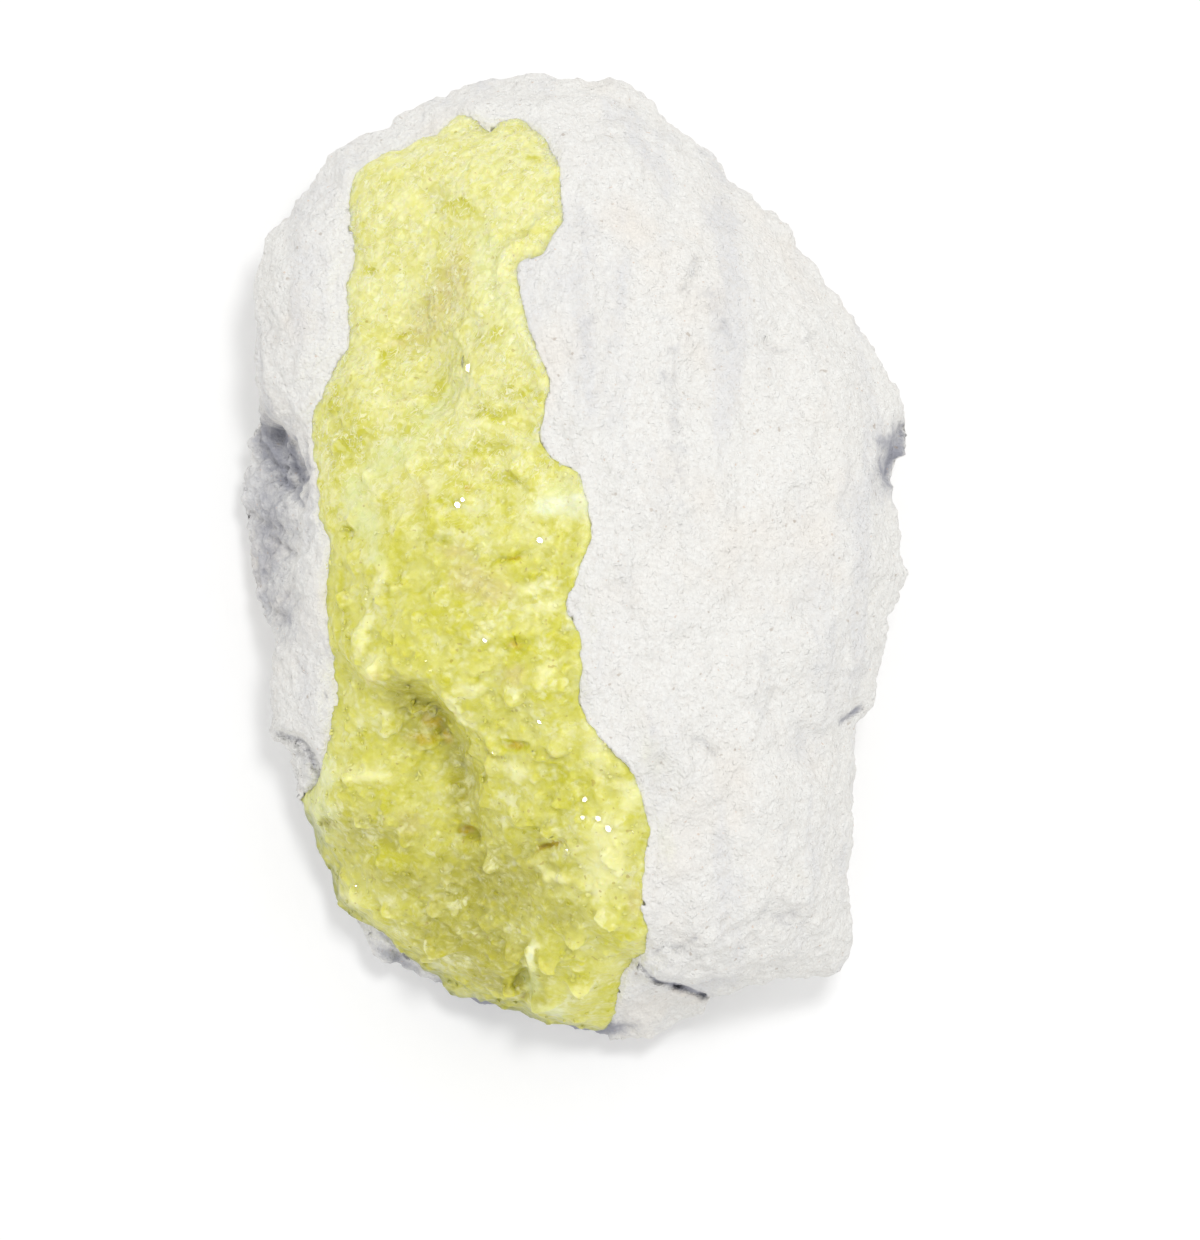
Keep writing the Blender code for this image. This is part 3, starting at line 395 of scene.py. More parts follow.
def wavered(points):
    """The points' X and Y, moved a little this way and that, for patches with uneven edges."""
    moves = np.column_stack([waves(points, 1.8, 21.0), waves(points, 1.8, 31.0)])
    fine = np.column_stack([waves(points, 0.8, 41.0), waves(points, 0.8, 51.0)])
    return points[:, :2] + 0.7 * moves + 0.35 * fine


def blurred(values, edges, rounds):
    """Each value averaged with its neighbours' over and over."""
    count = len(values)
    first, second = edges[:, 0], edges[:, 1]
    neighbours = np.bincount(first, minlength=count) + np.bincount(second, minlength=count)
    for _ in range(rounds):
        total = np.bincount(first, values[second], count) + np.bincount(second, values[first], count)
        values = (values + total) / (1.0 + neighbours)
    return values


def edges_of(mesh):
    edges = np.empty(len(mesh.edges) * 2, int)
    mesh.edges.foreach_get("vertices", edges)
    return edges.reshape(-1, 2)


def edges_within(edges, chosen):
    """The edges that have both ends among the chosen points."""
    return edges[chosen[edges[:, 0]] & chosen[edges[:, 1]]]


# Blanks


def node_copy(node):
    """A new mesh with the CAD node's shape."""
    shape = bmesh.new()
    shape.from_mesh(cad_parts[node].data)
    bmesh.ops.remove_doubles(shape, verts=shape.verts, dist=0.001 * MM)
    mesh = bpy.data.meshes.new(node + "_copy")
    shape.to_mesh(mesh)
    shape.free()
    return mesh


def joined(name, *meshes):
    """One mesh with the shells of several."""
    shape = bmesh.new()
    for mesh in meshes:
        shape.from_mesh(mesh)
    result = bpy.data.meshes.new(name)
    shape.to_mesh(result)
    shape.free()
    return result


def fine_net(name, mesh, voxel, rounds):
    """The mesh's outer surface with an even fine net, smoothed without shrinking it."""
    obj = new_object(name, mesh)
    remesh = obj.modifiers.new("even_net", "REMESH")
    remesh.mode = "VOXEL"
    remesh.voxel_size = voxel * MM
    for number in range(rounds):
        for factor in (0.5, -0.53):
            smooth = obj.modifiers.new(f"smooth_{number}", "SMOOTH")
            smooth.factor = factor
            smooth.iterations = 2
    obj.data = evaluated_mesh(obj)
    obj.modifiers.clear()
    return obj


def gaps_ahead(mesh, tree, reach):
    """How far each point of a mesh is from a surface ahead of it, or 0 where none is within reach."""
    gaps = np.zeros(len(mesh.vertices))
    for vertex in mesh.vertices:
        _, _, _, distance = tree.ray_cast(vertex.co, vertex.normal, reach * MM)
        if distance is not None:
            gaps[vertex.index] = distance / MM
    return gaps


def thinned(obj, hidden):
    """Takes faces off the hidden part of a piece until it is small enough."""
    triangles = sum(len(face.vertices) - 2 for face in obj.data.polygons)
    group = obj.vertex_groups.new(name="hidden")
    group.add(np.flatnonzero(hidden).tolist(), 1.0, "REPLACE")
    decimate = obj.modifiers.new("fewer_faces", "DECIMATE")
    decimate.ratio = min(1.0, PIECE_TRIANGLES / triangles)
    decimate.vertex_group = group.name
    obj.data = evaluated_mesh(obj)
    obj.modifiers.clear()
    obj.vertex_groups.clear()


# The crust's margin


def flat_tree(points):
    """A search tree over the points' X and Y."""
    tree = KDTree(len(points))
    for number, (x, y) in enumerate(points[:, :2]):
        tree.insert((x, y, 0.0), number)
    tree.balance()
    return tree


def flat_gaps(tree, points):
    """How far each point is from the nearest point of a search tree, in X and Y."""
    return np.array([tree.find((x, y, 0.0))[2] for x, y in points[:, :2]])


def seen_from_above(tree, x, y):
    """Where a surface is met over or under some X and Y, in metres, or None beside it."""
    return tree.ray_cast(Vector((x * MM, y * MM, SKY * MM)), Vector((0.0, 0.0, -1.0)))[0]


def heights_over(tree, points):
    """The height of a surface at each point's X and Y, seen from above, and a very low one beside it."""
    hits = [seen_from_above(tree, x, y) for x, y in points[:, :2]]
    return np.array([BESIDE if hit is None else hit.z / MM for hit in hits])


def wall_tree(crust, stone_tree, crust_tree):
    """A search tree over the crust's walls that stand against the stone, all round its outline."""
    points, normals = points_and_normals(crust.data)
    gaps = gaps_ahead(crust.data, stone_tree, CRUST_REACH)
    outside = heights_over(crust_tree, points + normals * (gaps + 0.4)[:, None]) == BESIDE
    return flat_tree(points[(gaps > 0.0) & (np.abs(normals[:, 2]) < 0.6) & outside])


def margin_and_cover(points, walls, crust_tree):
    """How far each point lies outside the crust's outline, less than 0 inside it, and the crust's height."""
    gaps = flat_gaps(walls, points)
    cover = heights_over(crust_tree, points)
    return np.where(cover > BESIDE, -gaps, gaps), cover


def margin_levels(points, normals, margin):
    """A search tree over the stone just outside the crust's seat, with its heights."""
    outside = (normals[:, 2] > 0.3) & (margin > MARGIN_OUTER) & (margin < MARGIN_OUTER + 1.5)
    return flat_tree(points[outside]), points[outside, 2]


def level_at(levels, place):
    tree, heights = levels
    found = tree.find_n((place[0], place[1], 0.0), 8)
    return np.mean([heights[index] for _, index, _ in found])


def over_foot(points):
    """Whether each point of the stone lies clear of its overhanging foot."""
    return (points[:, 2] > FOOT_TOP) | (points[:, 1] > FOOT_FROM)


def level_margin(points, normals, margin, levels, edges):
    """Raises the stone round the crust's seat to the stone's level a little farther out."""
    above = over_foot(points)
    ring = above & (normals[:, 2] > 0.1) & (margin > -MARGIN_INNER) & (margin < MARGIN_OUTER)
    for number in np.flatnonzero(ring):
        level = level_at(levels, points[number])
        if points[number, 2] < level < points[number, 2] + MARGIN_RISE:
            points[number, 2] = level
    above &= normals[:, 2] > -0.2
    wider = above & (margin > -MARGIN_INNER) & (margin < MARGIN_OUTER + MARGIN_REACH)
    level = blurred(points[:, 2], edges_within(edges, wider), MARGIN_BLURS)
    points[:, 2] += np.clip(MARGIN_OUTER + MARGIN_FADE - margin, 0.0, 1.0) * (level - points[:, 2])
    near = above & (margin > -1.5) & (margin < 3.0)
    most = blurred(points[:, 2], edges, 3) + MARGIN_SLACK
    points[:, 2] = np.where(near, np.minimum(points[:, 2], most), points[:, 2])


def raise_edge(crust, walls, levels):
    """Brings the rounded edge of the crust up to the stone's level."""
    points, normals = points_and_normals(crust.data)
    inside = flat_gaps(walls, points)
    rim = (inside < EDGE_WIDTH) & (normals[:, 2] > 0.2)
    for number in np.flatnonzero(rim):
        level = level_at(levels, points[number]) + EDGE_RISE - max(0.0, inside[number] - EDGE_LEVEL_WIDTH)
        if points[number, 2] < level < points[number, 2] + MARGIN_RISE:
            points[number, 2] = min(level, points[number, 2] + EDGE_LIMIT)
    points[:, 2] = blurred(points[:, 2], edges_within(edges_of(crust.data), rim), 3)
    set_points(crust.data, points)


# The stone


def seat_filler(crust, stone_tree):
    """Fills the crust's seat in the stone up to just under the crust."""
    mesh = crust.data.copy()
    points, normals = points_and_normals(mesh)
    gaps = gaps_ahead(mesh, stone_tree, CRUST_REACH)
    move = np.where(gaps > 0.0, gaps + CRUST_OVERLAP, -2.0 * CRUST_OVERLAP)
    move -= FILLER_DROP * np.clip(normals[:, 2], 0.0, 1.0)
    set_points(mesh, points + normals * move[:, None])
    return mesh


def stone_streaks(points):
    """From 0 to 1, streaks across the hollow in the stone's left face; the higher, the deeper cut and painted
    shade.
    """
    places = turned(points, STONE_STREAK_TURN)
    places /= (STONE_STREAK_LENGTH, STONE_STREAK_WIDTH, STONE_STREAK_LENGTH)
    return np.clip(0.5 + 1.4 * waves(places + 0.4 * warp(points, 1.5), 1.0), 0.0, 1.0)


def stone_relief(points, normals, hollow):
    """How far each point of the stone moves along its normal."""
    rough = 1.0 + STONE_STEEP_SHARE * (1.0 - np.abs(normals[:, 2])) + patch_share(points, STONE_ROUGH)
    move = np.zeros(len(points))
    for size, height in STONE_WAVES:
        move += height * waves(points, size, size) * (rough if size < 2.0 else 1.0)
    move += STONE_SCALLOP_HEIGHT * waves(points, STONE_SCALLOP_SIZE, 60.0) * (1.0 - np.abs(normals[:, 2]))
    turn, length, width, height = STONE_RIDGES
    move += height * waves(turned(points, turn) / (length, width, length), 1.0)
    move += STONE_CRUMB_HEIGHT * (0.5 - crumbs(points, STONE_CRUMB_SIZE)) * rough
    pits = np.maximum(waves(points, STONE_PIT_SIZE, 40.0) - STONE_PIT_LEVEL, 0.0)
    patch = np.clip(0.5 + 1.6 * waves(points, 14.0, 7.0), 0.0, 1.0)
    return move - STONE_PIT_DEPTH * pits * patch - STONE_STREAK_DEPTH * hollow


def crease_share(points, line, width):
    """1 along a crease's wandering line, and 0 beside it."""
    wander = 0.4 * width * waves(points, 0.9, 5.0)
    return np.exp(-(((distance_to(line, points[:, :2]) + wander) / width) ** 2))


def cut_creases(points, upward):
    """Cuts the creases into the upper side."""
    for depth, width, way, _, line in STONE_CREASES:
        points += (depth * upward * crease_share(points, line, width))[:, None] * np.array(way)


def stone_painted_shade(points, hollow):
    """The painted shade at each point of the stone's upper side: in its creases and hollows, and faint grey
    streaks.
    """
    share = np.maximum(patch_share(wavered(points), STONE_PAINTED_SHADE_AND_GREY) * 0.75, 1.1 * hollow)
    for _, width, _, painted_shade_grey, line in STONE_CREASES:
        share = np.maximum(share, painted_shade_grey * crease_share(points, line, 0.9 * width))
    return share


def build_stone(crust, stone_tree, crust_tree, walls):
    """The stone with its relief, and its levels round the crust's seat."""
    blank = joined("stone", node_copy("matrix"), seat_filler(crust, stone_tree))
    stone = fine_net("stone", blank, STONE_VOXEL, STONE_SMOOTHING)
    points = points_of(stone.data)
    margin, _ = margin_and_cover(points, walls, crust_tree)
    thinned(stone, (points[:, 2] < STONE_BACK) | (margin < -STONE_COVERED) & (points[:, 1] > FOOT_FROM))
    points, normals = points_and_normals(stone.data)
    margin, cover = margin_and_cover(points, walls, crust_tree)
    levels = margin_levels(points, normals, margin)
    level_margin(points, normals, margin, levels, edges_of(stone.data))
    on_back = points[:, 2] < 0.3
    hollow = patch_share(wavered(points), STONE_HOLLOW) * stone_streaks(points)
    move = stone_relief(points, normals, hollow) * np.clip(margin / 0.8, 0.0, 1.0)
    move[on_back] = np.minimum(move[on_back], 0.0)
    points += normals * move[:, None]
    upward = np.clip(0.4 + 2.5 * normals[:, 2], 0.0, 1.0)
    cut_creases(points, upward)
    drop = np.interp(-margin, (MARGIN_INNER, 0.8, 2.5), (0.1, 0.9, 2.6))
    under = (margin < -MARGIN_INNER) & (points[:, 2] > 1.0) & over_foot(points)
    points[:, 2] = np.where(under, np.minimum(points[:, 2], np.maximum(cover - drop, 1.0)), points[:, 2])
    set_points_in_box(stone.data, points)
    # Painted shade in the creases and hollows and under the foot, for the stone's material.
    painted_shade_and_grey = np.maximum(stone_painted_shade(points, hollow) * upward, patch_share(points, STONE_FOOT_PAINTED_SHADE))
    add_number(stone.data, "painted_shade_and_grey", painted_shade_and_grey)
    add_number(stone.data, "warmth", patch_share(wavered(points), STONE_WARMTH))
    add_number(stone.data, "stain", patch_share(wavered(points), STONE_STAIN))
    stone.data.shade_smooth()
    return stone, levels


# The crust


def cut_horns(points, upper):
    """Lowers what stands like a horn on the crust's upper part, far over the middle height round it."""
    places = np.flatnonzero(upper & (points[:, 1] > HORNS_FROM))
    tree, heights = flat_tree(points[places]), points[places, 2]
    for number in places:
        x, y, z = points[number]
        near = [found for _, found, _ in tree.find_range((x, y, 0.0), HORN_REACH)]
        points[number, 2] = min(z, np.median(heights[near]) + HORN_HEIGHT)


def settle(mesh):
    """Lowers whatever stands proud of the crust's upper side, and levels what is left."""
    points, normals = points_and_normals(mesh)
    upper = normals[:, 2] > -0.1
    cut_horns(points, upper)
    edges = edges_within(edges_of(mesh), upper)
    for _ in range(SETTLE_ROUNDS):
        level = blurred(points[:, 2], edges, SETTLE_BLURS) + SETTLE_SLACK
        points[:, 2] = np.where(upper, np.minimum(points[:, 2], level), points[:, 2])
    inner = normals[:, 2] > 0.5
    points[:, 2] = np.where(inner, blurred(points[:, 2], edges, LEVEL_BLURS), points[:, 2])
    set_points(mesh, points)


def build_crust_blank():
    """The crust, level between its grains."""
    crust = fine_net("crust_blank", node_copy("sulfur_crust"), CRUST_VOXEL, CRUST_SMOOTHING)
    settle(crust.data)
    points, normals = points_and_normals(crust.data)
    steep = np.clip(1.4 - 2.0 * np.abs(normals[:, 2]), 0.0, 1.0)
    scallops = SCALLOP_DEPTH * waves(points * (1.0, 1.0, 0.2), SCALLOP_SIZE) * steep
    points[:, :2] += normals[:, :2] * scallops[:, None]
    for oval in CRUST_OUTLINE_PUSHES:
        points[:, 1] += oval[5] * in_oval(points, oval)
    underside = (normals[:, 2] < -0.3) & (points[:, 1] > CRUST_WRAP_END)
    points[:, 2] -= UNDERSIDE_DROP * blurred(underside.astype(float), edges_of(crust.data), 4)
    set_points(crust.data, points)
    return crust


def upper_share(points):
    """1 on the crust's upper part, and 0 on its lower part, where the crystals are coarse."""
    return np.clip((points[:, 1] + 2.0) / 18.0, 0.0, 1.0)


def strokes(points, turn):
    """Short raised scales side by side, with their length at some turn from X."""
    places = turned(points, turn) + warp(points, 2.5)
    return 0.5 - 2.0 * np.abs(waves(places / (STROKE_LENGTH, STROKE_WIDTH, 1.0), 1.0))


def skin_relief(points, normals, edges):
    """How far each point of the crust's skin moves along its normal, and the tone of its facet."""
    upper = upper_share(points)
    rough = 1.0 - 0.85 * np.clip(patch_share(wavered(points), CRUST_SMOOTH), 0.0, 1.0)
    move = np.zeros(len(points))
    for turn, share in zip(STROKE_TURNS, (upper, 0.6 - 0.6 * upper)):
        move += STROKE_HEIGHT * share * strokes(points, turn)
    slopes, tone = facets(points + 0.5 * warp(points, 1.2), FACET_SIZE)
    move += FACET_SLOPE * blurred(slopes, edges, FACET_BLURS) * (1.0 - 0.8 * upper)
    move *= rough
    for size, height in SKIN_WAVES:
        move += height * waves(points, size, size) * (0.4 + 0.6 * rough)
    places, facing = wavered(points), np.clip(2.0 * normals[:, 2], 0.0, 1.0)
    for form in CRUST_FORMS:
        move += form[5] * in_oval(places, form) * facing
    return move, tone


def add_crust_numbers(mesh, tone):
    """Stores what the sulfur's material reads."""
    points, normals = points_and_normals(mesh)
    places = wavered(points)
    # Painted shade: the crust's steep, low sides, which turn away underneath, are darkened.
    steep = blurred(np.clip((0.75 - normals[:, 2]) / 0.6, 0.0, 1.0), edges_of(mesh), 12)
    add_number(mesh, "under", steep * np.clip((14.0 - points[:, 2]) / 8.0, 0.0, 1.0))
    add_number(mesh, "tone", tone)
    add_number(mesh, "upper", upper_share(points))
    for name, patches in (
        ("pale", CRUST_PALE), ("green", CRUST_GREEN), ("deep", CRUST_DEEP), ("blush_and_shade", CRUST_BLUSH_AND_SHADE),
        ("olive_painted_shade", CRUST_OLIVE_PAINTED_SHADE), ("gold", CRUST_GOLD), ("white", CRUST_WHITE),
    ):
        add_number(mesh, name, patch_share(places, patches))


def is_hidden(skin, stone):
    """Whether each point of the crust lies well under the crust's own upper side or the stone's."""
    points, graph = points_of(skin.data), bpy.context.evaluated_depsgraph_get()
    tops = [heights_over(BVHTree.FromObject(obj, graph), points) for obj in (skin, stone)]
    return np.maximum(*tops) > points[:, 2] + HIDDEN_DEPTH


def build_skin(crust, stone, stone_tree, grains):
    """The crust with its grains grown in and its relief, reaching into the walls of its seat."""
    mesh = crust.data.copy()
    normals = vectors_of(mesh.vertices, "normal")
    gaps = gaps_ahead(mesh, stone_tree, CRUST_REACH)
    walls = (gaps > 0.0) & (np.abs(normals[:, 2]) < 0.8)
    set_points(mesh, points_of(mesh) + normals * (MARGIN_INNER * walls)[:, None])
    skin = fine_net("sulfur_skin", joined("sulfur_skin", mesh, grains), SKIN_VOXEL, 1)
    thinned(skin, is_hidden(skin, stone))
    points, normals = points_and_normals(skin.data)
    move, tone = skin_relief(points, normals, edges_of(skin.data))
    points += normals * move[:, None]
    cut_horns(points, normals[:, 2] > -0.1)
    set_points_in_box(skin.data, points)
    skin.data.shade_smooth()
    add_crust_numbers(skin.data, tone)
    return skin


# Grains and crystals


def hull(corners):
    """The points and faces of the convex solid round some corners."""
    shape = bmesh.new()
    for corner in corners:
        shape.verts.new(corner)
    result = bmesh.ops.convex_hull(shape, input=shape.verts)
    loose = [item for item in result["geom_interior"] if isinstance(item, bmesh.types.BMVert)]
    bmesh.ops.delete(shape, geom=loose, context="VERTS")
    bmesh.ops.dissolve_limit(shape, angle_limit=0.15, verts=shape.verts, edges=shape.edges)
    shape.verts.index_update()
    points = np.array([vert.co[:] for vert in shape.verts])
    faces = [[vert.index for vert in face.verts] for face in shape.faces]
    shape.free()
    return points, faces


def chunk_shapes(draw, count, flatness):
    """Broken lumps of crystal with a dozen or so flat faces, about one unit in radius."""
    shapes = []
    for _ in range(count):
        corners = draw.normal(size=(11, 3))
        corners /= np.linalg.norm(corners, axis=1)[:, None]
        shapes.append(hull(corners * np.array((1.0, draw.uniform(0.6, 0.9), flatness))))
    return shapes


def six_sided(rings, flatness=1.0):
    """A solid from rings of six corners, each with its radius and height."""
    turns = np.radians(np.arange(0.0, 360.0, 60.0))
    ring = np.column_stack([np.cos(turns), np.sin(turns) * flatness])
    return hull(np.vstack([np.column_stack([ring * size, np.full(6, height)]) for size, height in rings]))


def plate_shape():
    """A six-sided plate with sloping sides, one unit in radius."""
    return six_sided(((0.8, 0.25), (1.0, -0.4)), 0.8)


def frames_along(axes, draw):
    """For each axis, three perpendicular directions with the axis last, at a random turn about it."""
    guide = draw.normal(size=axes.shape)
    first = np.cross(axes, guide)
    first /= np.linalg.norm(first, axis=1)[:, None]
    second = np.cross(axes, first)
    return np.stack([first, second, axes], axis=2)


def leaning(normals, draw, lean):
    """The normals, each leaning a little at random."""
    axes = normals + draw.normal(size=normals.shape) * lean
    return axes / np.linalg.norm(axes, axis=1)[:, None]


def scatter_on(mesh, draw, count, wanted):
    """Random places on the upward side of a mesh, and its outward direction at each."""
    areas = np.empty(len(mesh.polygons))
    mesh.polygons.foreach_get("area", areas)
    normals = vectors_of(mesh.polygons, "normal")
    middles = vectors_of(mesh.polygons, "center") / MM
    share = areas * np.clip(normals[:, 2] - 0.15, 0.0, 0.5) * wanted(middles)
    picked = draw.choice(len(areas), size=count, p=share / share.sum())
    return middles[picked], normals[picked]


def solids_mesh(name, shapes, kinds, places, frames, sizes):
    """One mesh of many small solids, each a shape at its place, turned and sized."""
    points, faces = [], []
    start = 0
    for kind, place, turn, size in zip(kinds, places, frames, sizes):
        corners, sides = shapes[kind]
        points.append(place + size * corners @ turn.T)
        faces += [[start + corner for corner in side] for side in sides]
        start += len(corners)
    mesh = bpy.data.meshes.new(name)
    mesh.from_pydata(np.vstack(points) * MM, [], faces)
    return mesh


def grain_share(walls):
    """A function for how many grains stand at each place: none by the margin, and most on the lower part."""
    def share(places):
        inside = np.clip((flat_gaps(walls, places) - GRAIN_MARGIN) / 0.5, 0.0, 1.0)
        smooth = np.clip(patch_share(places, CRUST_SMOOTH), 0.0, 1.0)
        return inside * (1.0 - smooth) * (0.15 + 0.85 * (1.0 - upper_share(places)))
    return share


def prism_shape():
    """A six-sided prism with a blunt point at each end, one unit in radius."""
    half = 0.5 * PRISM_LENGTH / PRISM_RADIUS
    return six_sided(((0.5, -half), (0.9, -0.8 * half), (1.0, 0.7 * half), (0.55, half)))


def build_grains(crust, draw, walls, crust_tree):
    """The grains that are grown into the crust, and the clear prism at its foot."""
    shapes = chunk_shapes(draw, CHUNK_KINDS, 0.45) + chunk_shapes(draw, CHUNK_KINDS, 0.8) + [prism_shape()]
    places, normals = scatter_on(crust.data, draw, GRAIN_COUNT, grain_share(walls))
    lower = 1.0 - upper_share(places)
    sizes = draw.uniform(0.30, 0.55, GRAIN_COUNT) + lower * draw.uniform(0.0, 0.45, GRAIN_COUNT)
    lumpy = draw.uniform(size=GRAIN_COUNT) < 0.5 * lower
    kinds = draw.randint(0, CHUNK_KINDS, GRAIN_COUNT) + CHUNK_KINDS * lumpy
    axes = leaning(normals, draw, 0.30)
    places = places - normals * (0.25 * sizes)[:, None]
    frames = frames_along(axes, draw)
    places = np.vstack([places, seen_from_above(crust_tree, *PRISM_PLACE) / MM])
    axis = np.array(PRISM_AXIS) / np.linalg.norm(PRISM_AXIS)
    frames = np.concatenate([frames, frames_along(axis[None, :], draw)])
    kinds, sizes = np.append(kinds, 2 * CHUNK_KINDS), np.append(sizes, PRISM_RADIUS)
    return solids_mesh("grains", shapes, kinds, places, frames, sizes)


def glint_direction():
    """The way a facet faces to send the key light straight up."""
    to_light = Vector(KEY_PLACE).normalized()
    return (to_light + Vector((0.0, 0.0, 1.0))).normalized()


def crystal_share(places):
    """Crystals stand all over the crust, and closest along its left side."""
    return 0.25 + np.clip((-17.0 - places[:, 0]) / 4.0, 0.0, 1.0) + 0.4 * (1.0 - upper_share(places))


def build_crystals(skin, draw):
    """The small clear crystals that stand on the crust, and the facets that catch the light."""
    shapes = chunk_shapes(draw, CHUNK_KINDS, 0.6) + [plate_shape()]
    places, normals = scatter_on(skin.data, draw, CRYSTAL_COUNT, crystal_share)
    sizes = draw.uniform(0.12, 0.22, CRYSTAL_COUNT) * (1.0 + 0.6 * (1.0 - upper_share(places)))
    kinds = draw.randint(0, CHUNK_KINDS, CRYSTAL_COUNT)
    axes = leaning(normals, draw, 0.35)
    tree = BVHTree.FromObject(skin, bpy.context.evaluated_depsgraph_get())
    spots = [seen_from_above(tree, x, y) / MM for x, y, _ in GLINTS]
    facing = np.tile(np.array(glint_direction()), (len(GLINTS), 1))
    places = np.vstack([places, spots])
    frames = frames_along(np.vstack([axes, facing]), draw)
    kinds = np.append(kinds, np.full(len(GLINTS), CHUNK_KINDS))
    sizes = np.append(sizes, [size for _, _, size in GLINTS])
    mesh = solids_mesh("sulfur_crystals", shapes, kinds, places, frames, sizes)
    set_points_in_box(mesh, points_of(mesh))
    add_crust_numbers(mesh, waves(points_of(mesh), 1.1, 50.0))
    return new_object("sulfur_crystals", mesh)


# Materials


# The darkest grey tint is painted shade.
STONE_TINTS = {
    "white": (0.875, 0.868, 0.838), "warm": (0.87, 0.80, 0.71), "cool": (0.75, 0.75, 0.76),
    "painted_shade_grey": (0.33, 0.335, 0.385), "stain": (0.84, 0.83, 0.60), "dust": (0.74, 0.71, 0.67),
    "grain": (0.78, 0.75, 0.70), "gap": (0.66, 0.64, 0.62), "fine": (0.74, 0.70, 0.65),
    "speck": (0.42, 0.34, 0.27), "rust": (0.66, 0.45, 0.32),
}
SULFUR_TINTS = {
    "pale": (0.92, 0.905, 0.47), "lemon": (0.79, 0.765, 0.19), "deep": (0.62, 0.60, 0.028),
    # blush: beige, and partly painted shade.
    # bright: pale, and partly painted light on the crust's upper part.
    "pale_and_painted_light": (0.94, 0.925, 0.52), "blush_and_shade": (0.72, 0.63, 0.27), "green": (0.80, 0.85, 0.45),
    # olive: painted shade.
    "olive_painted_shade": (0.42, 0.39, 0.04), "gold": (0.62, 0.46, 0.01), "white": (0.85, 0.89, 0.66),
    # rim: painted highlight lines. fleck: pale flecks, partly painted glints.
    "fleck_and_glint": (0.90, 0.895, 0.57), "speck": (0.40, 0.28, 0.06), "rim": (0.97, 0.95, 0.62),
    # under: painted shade for the crust's low, steep sides.
    "under": (0.13, 0.155, 0.02),
}
FLOOR_TINTS = {"pale": (0.97, 0.97, 0.97), "paler": (0.98, 0.98, 0.98)}


class Nodes:
    """Adds and joins the shader nodes of one material."""

    def __init__(self, name, tints):
        self.material = bpy.data.materials.new(name)
        self.material.use_nodes = True
        self.tree = self.material.node_tree
        self.tints = tints
        where = {0: self.add("ShaderNodeTexCoord").outputs["Object"], "Scale": 1.0 / MM}
        self.place = self.add("ShaderNodeVectorMath", where, operation="SCALE").outputs[0]

    def fill(self, node, inputs):
        """Sets each input of a node to a value, or links it to another node."""
        for name, value in inputs.items():
            if isinstance(value, bpy.types.NodeSocket):
                self.tree.links.new(value, node.inputs[name])
            else:
                node.inputs[name].default_value = value

    def add(self, kind, inputs=None, **settings):
        node = self.tree.nodes.new(kind)
        for name, value in settings.items():
            setattr(node, name, value)
        self.fill(node, inputs or {})
        return node

    def stretched(self, scales, turn=0.0, waver=0.0):
        """The place in millimetres, turned about Z by some degrees, scaled, and pushed about a little."""
        where = {"Angle": math.radians(-turn), "Vector": self.place}
        rotated = self.add("ShaderNodeVectorRotate", where, rotation_type="Z_AXIS").outputs[0]
        scaled = self.add("ShaderNodeVectorMath", {0: rotated, 1: scales}, operation="MULTIPLY").outputs[0]
        if not waver:
            return scaled
        push = self.add("ShaderNodeTexNoise", {"Scale": 1.0, "Detail": 1.0, "Vector": self.place})
        moves = {0: push.outputs["Color"], 1: (waver, waver, waver), 2: scaled}
        return self.add("ShaderNodeVectorMath", moves, operation="MULTIPLY_ADD").outputs[0]

    def cells(self, size, place):
        """The distance from the middle of each cell, in cell sizes, and a random number for each cell."""
        node = self.add("ShaderNodeTexVoronoi", {"Scale": 1.0 / size, "Vector": place})
        return node.outputs["Distance"], node.outputs["Color"]

    def noise(self, size, detail=3.0, roughness=0.55, place=None, distortion=0.0):
        inputs = {"Scale": 1.0 / size, "Detail": detail, "Roughness": roughness, "Distortion": distortion}
        return self.add("ShaderNodeTexNoise", {**inputs, "Vector": place or self.place}).outputs["Fac"]

    def number(self, name):
        """A number that the mesh holds at each point."""
        return self.add("ShaderNodeAttribute", attribute_name=name).outputs["Fac"]

    def worked_out(self, operation, *numbers):
        return self.add("ShaderNodeMath", dict(enumerate(numbers)), operation=operation).outputs[0]

    def sum(self, first, second, scale=1.0):
        """The first number plus the second one times a scale."""
        return self.worked_out("MULTIPLY_ADD", second, scale, first)

    def product(self, first, second):
        return self.worked_out("MULTIPLY", first, second)

    def fold(self, value):
        """A number that is 0.5 where the given one is, and less on both sides of that."""
        return self.worked_out("PINGPONG", value, 0.5)

    def ramp(self, value, low, high, bottom=0.0, top=1.0):
        inputs = {"Value": value, "From Min": low, "From Max": high, "To Min": bottom, "To Max": top}
        return self.add("ShaderNodeMapRange", inputs, interpolation_type="SMOOTHSTEP").outputs["Result"]

    def tint(self, name):
        return (*self.tints[name], 1.0)

    def mix(self, share, first, second):
        return self.add("ShaderNodeMix", {0: share, 6: first, 7: second}, data_type="RGBA").outputs[2]

    def tinted(self, colour, *layers):
        """A colour under layers of tints, each with its value, where it begins and is full, and its most."""
        for value, low, high, most, name in layers:
            colour = self.mix(self.ramp(value, low, high, 0.0, most), colour, self.tint(name))
        return colour

    def bump(self, height, distance, normal=None):
        inputs = {"Height": height, "Distance": distance * MM}
        if normal:
            inputs["Normal"] = normal
        return self.add("ShaderNodeBump", inputs).outputs["Normal"]

    def finished(self, **inputs):
        """The material, with these inputs of its shader set or linked."""
        inputs = {name.replace("_", " "): value for name, value in inputs.items()}
        self.fill(self.tree.nodes["Principled BSDF"], inputs)
        return self.material


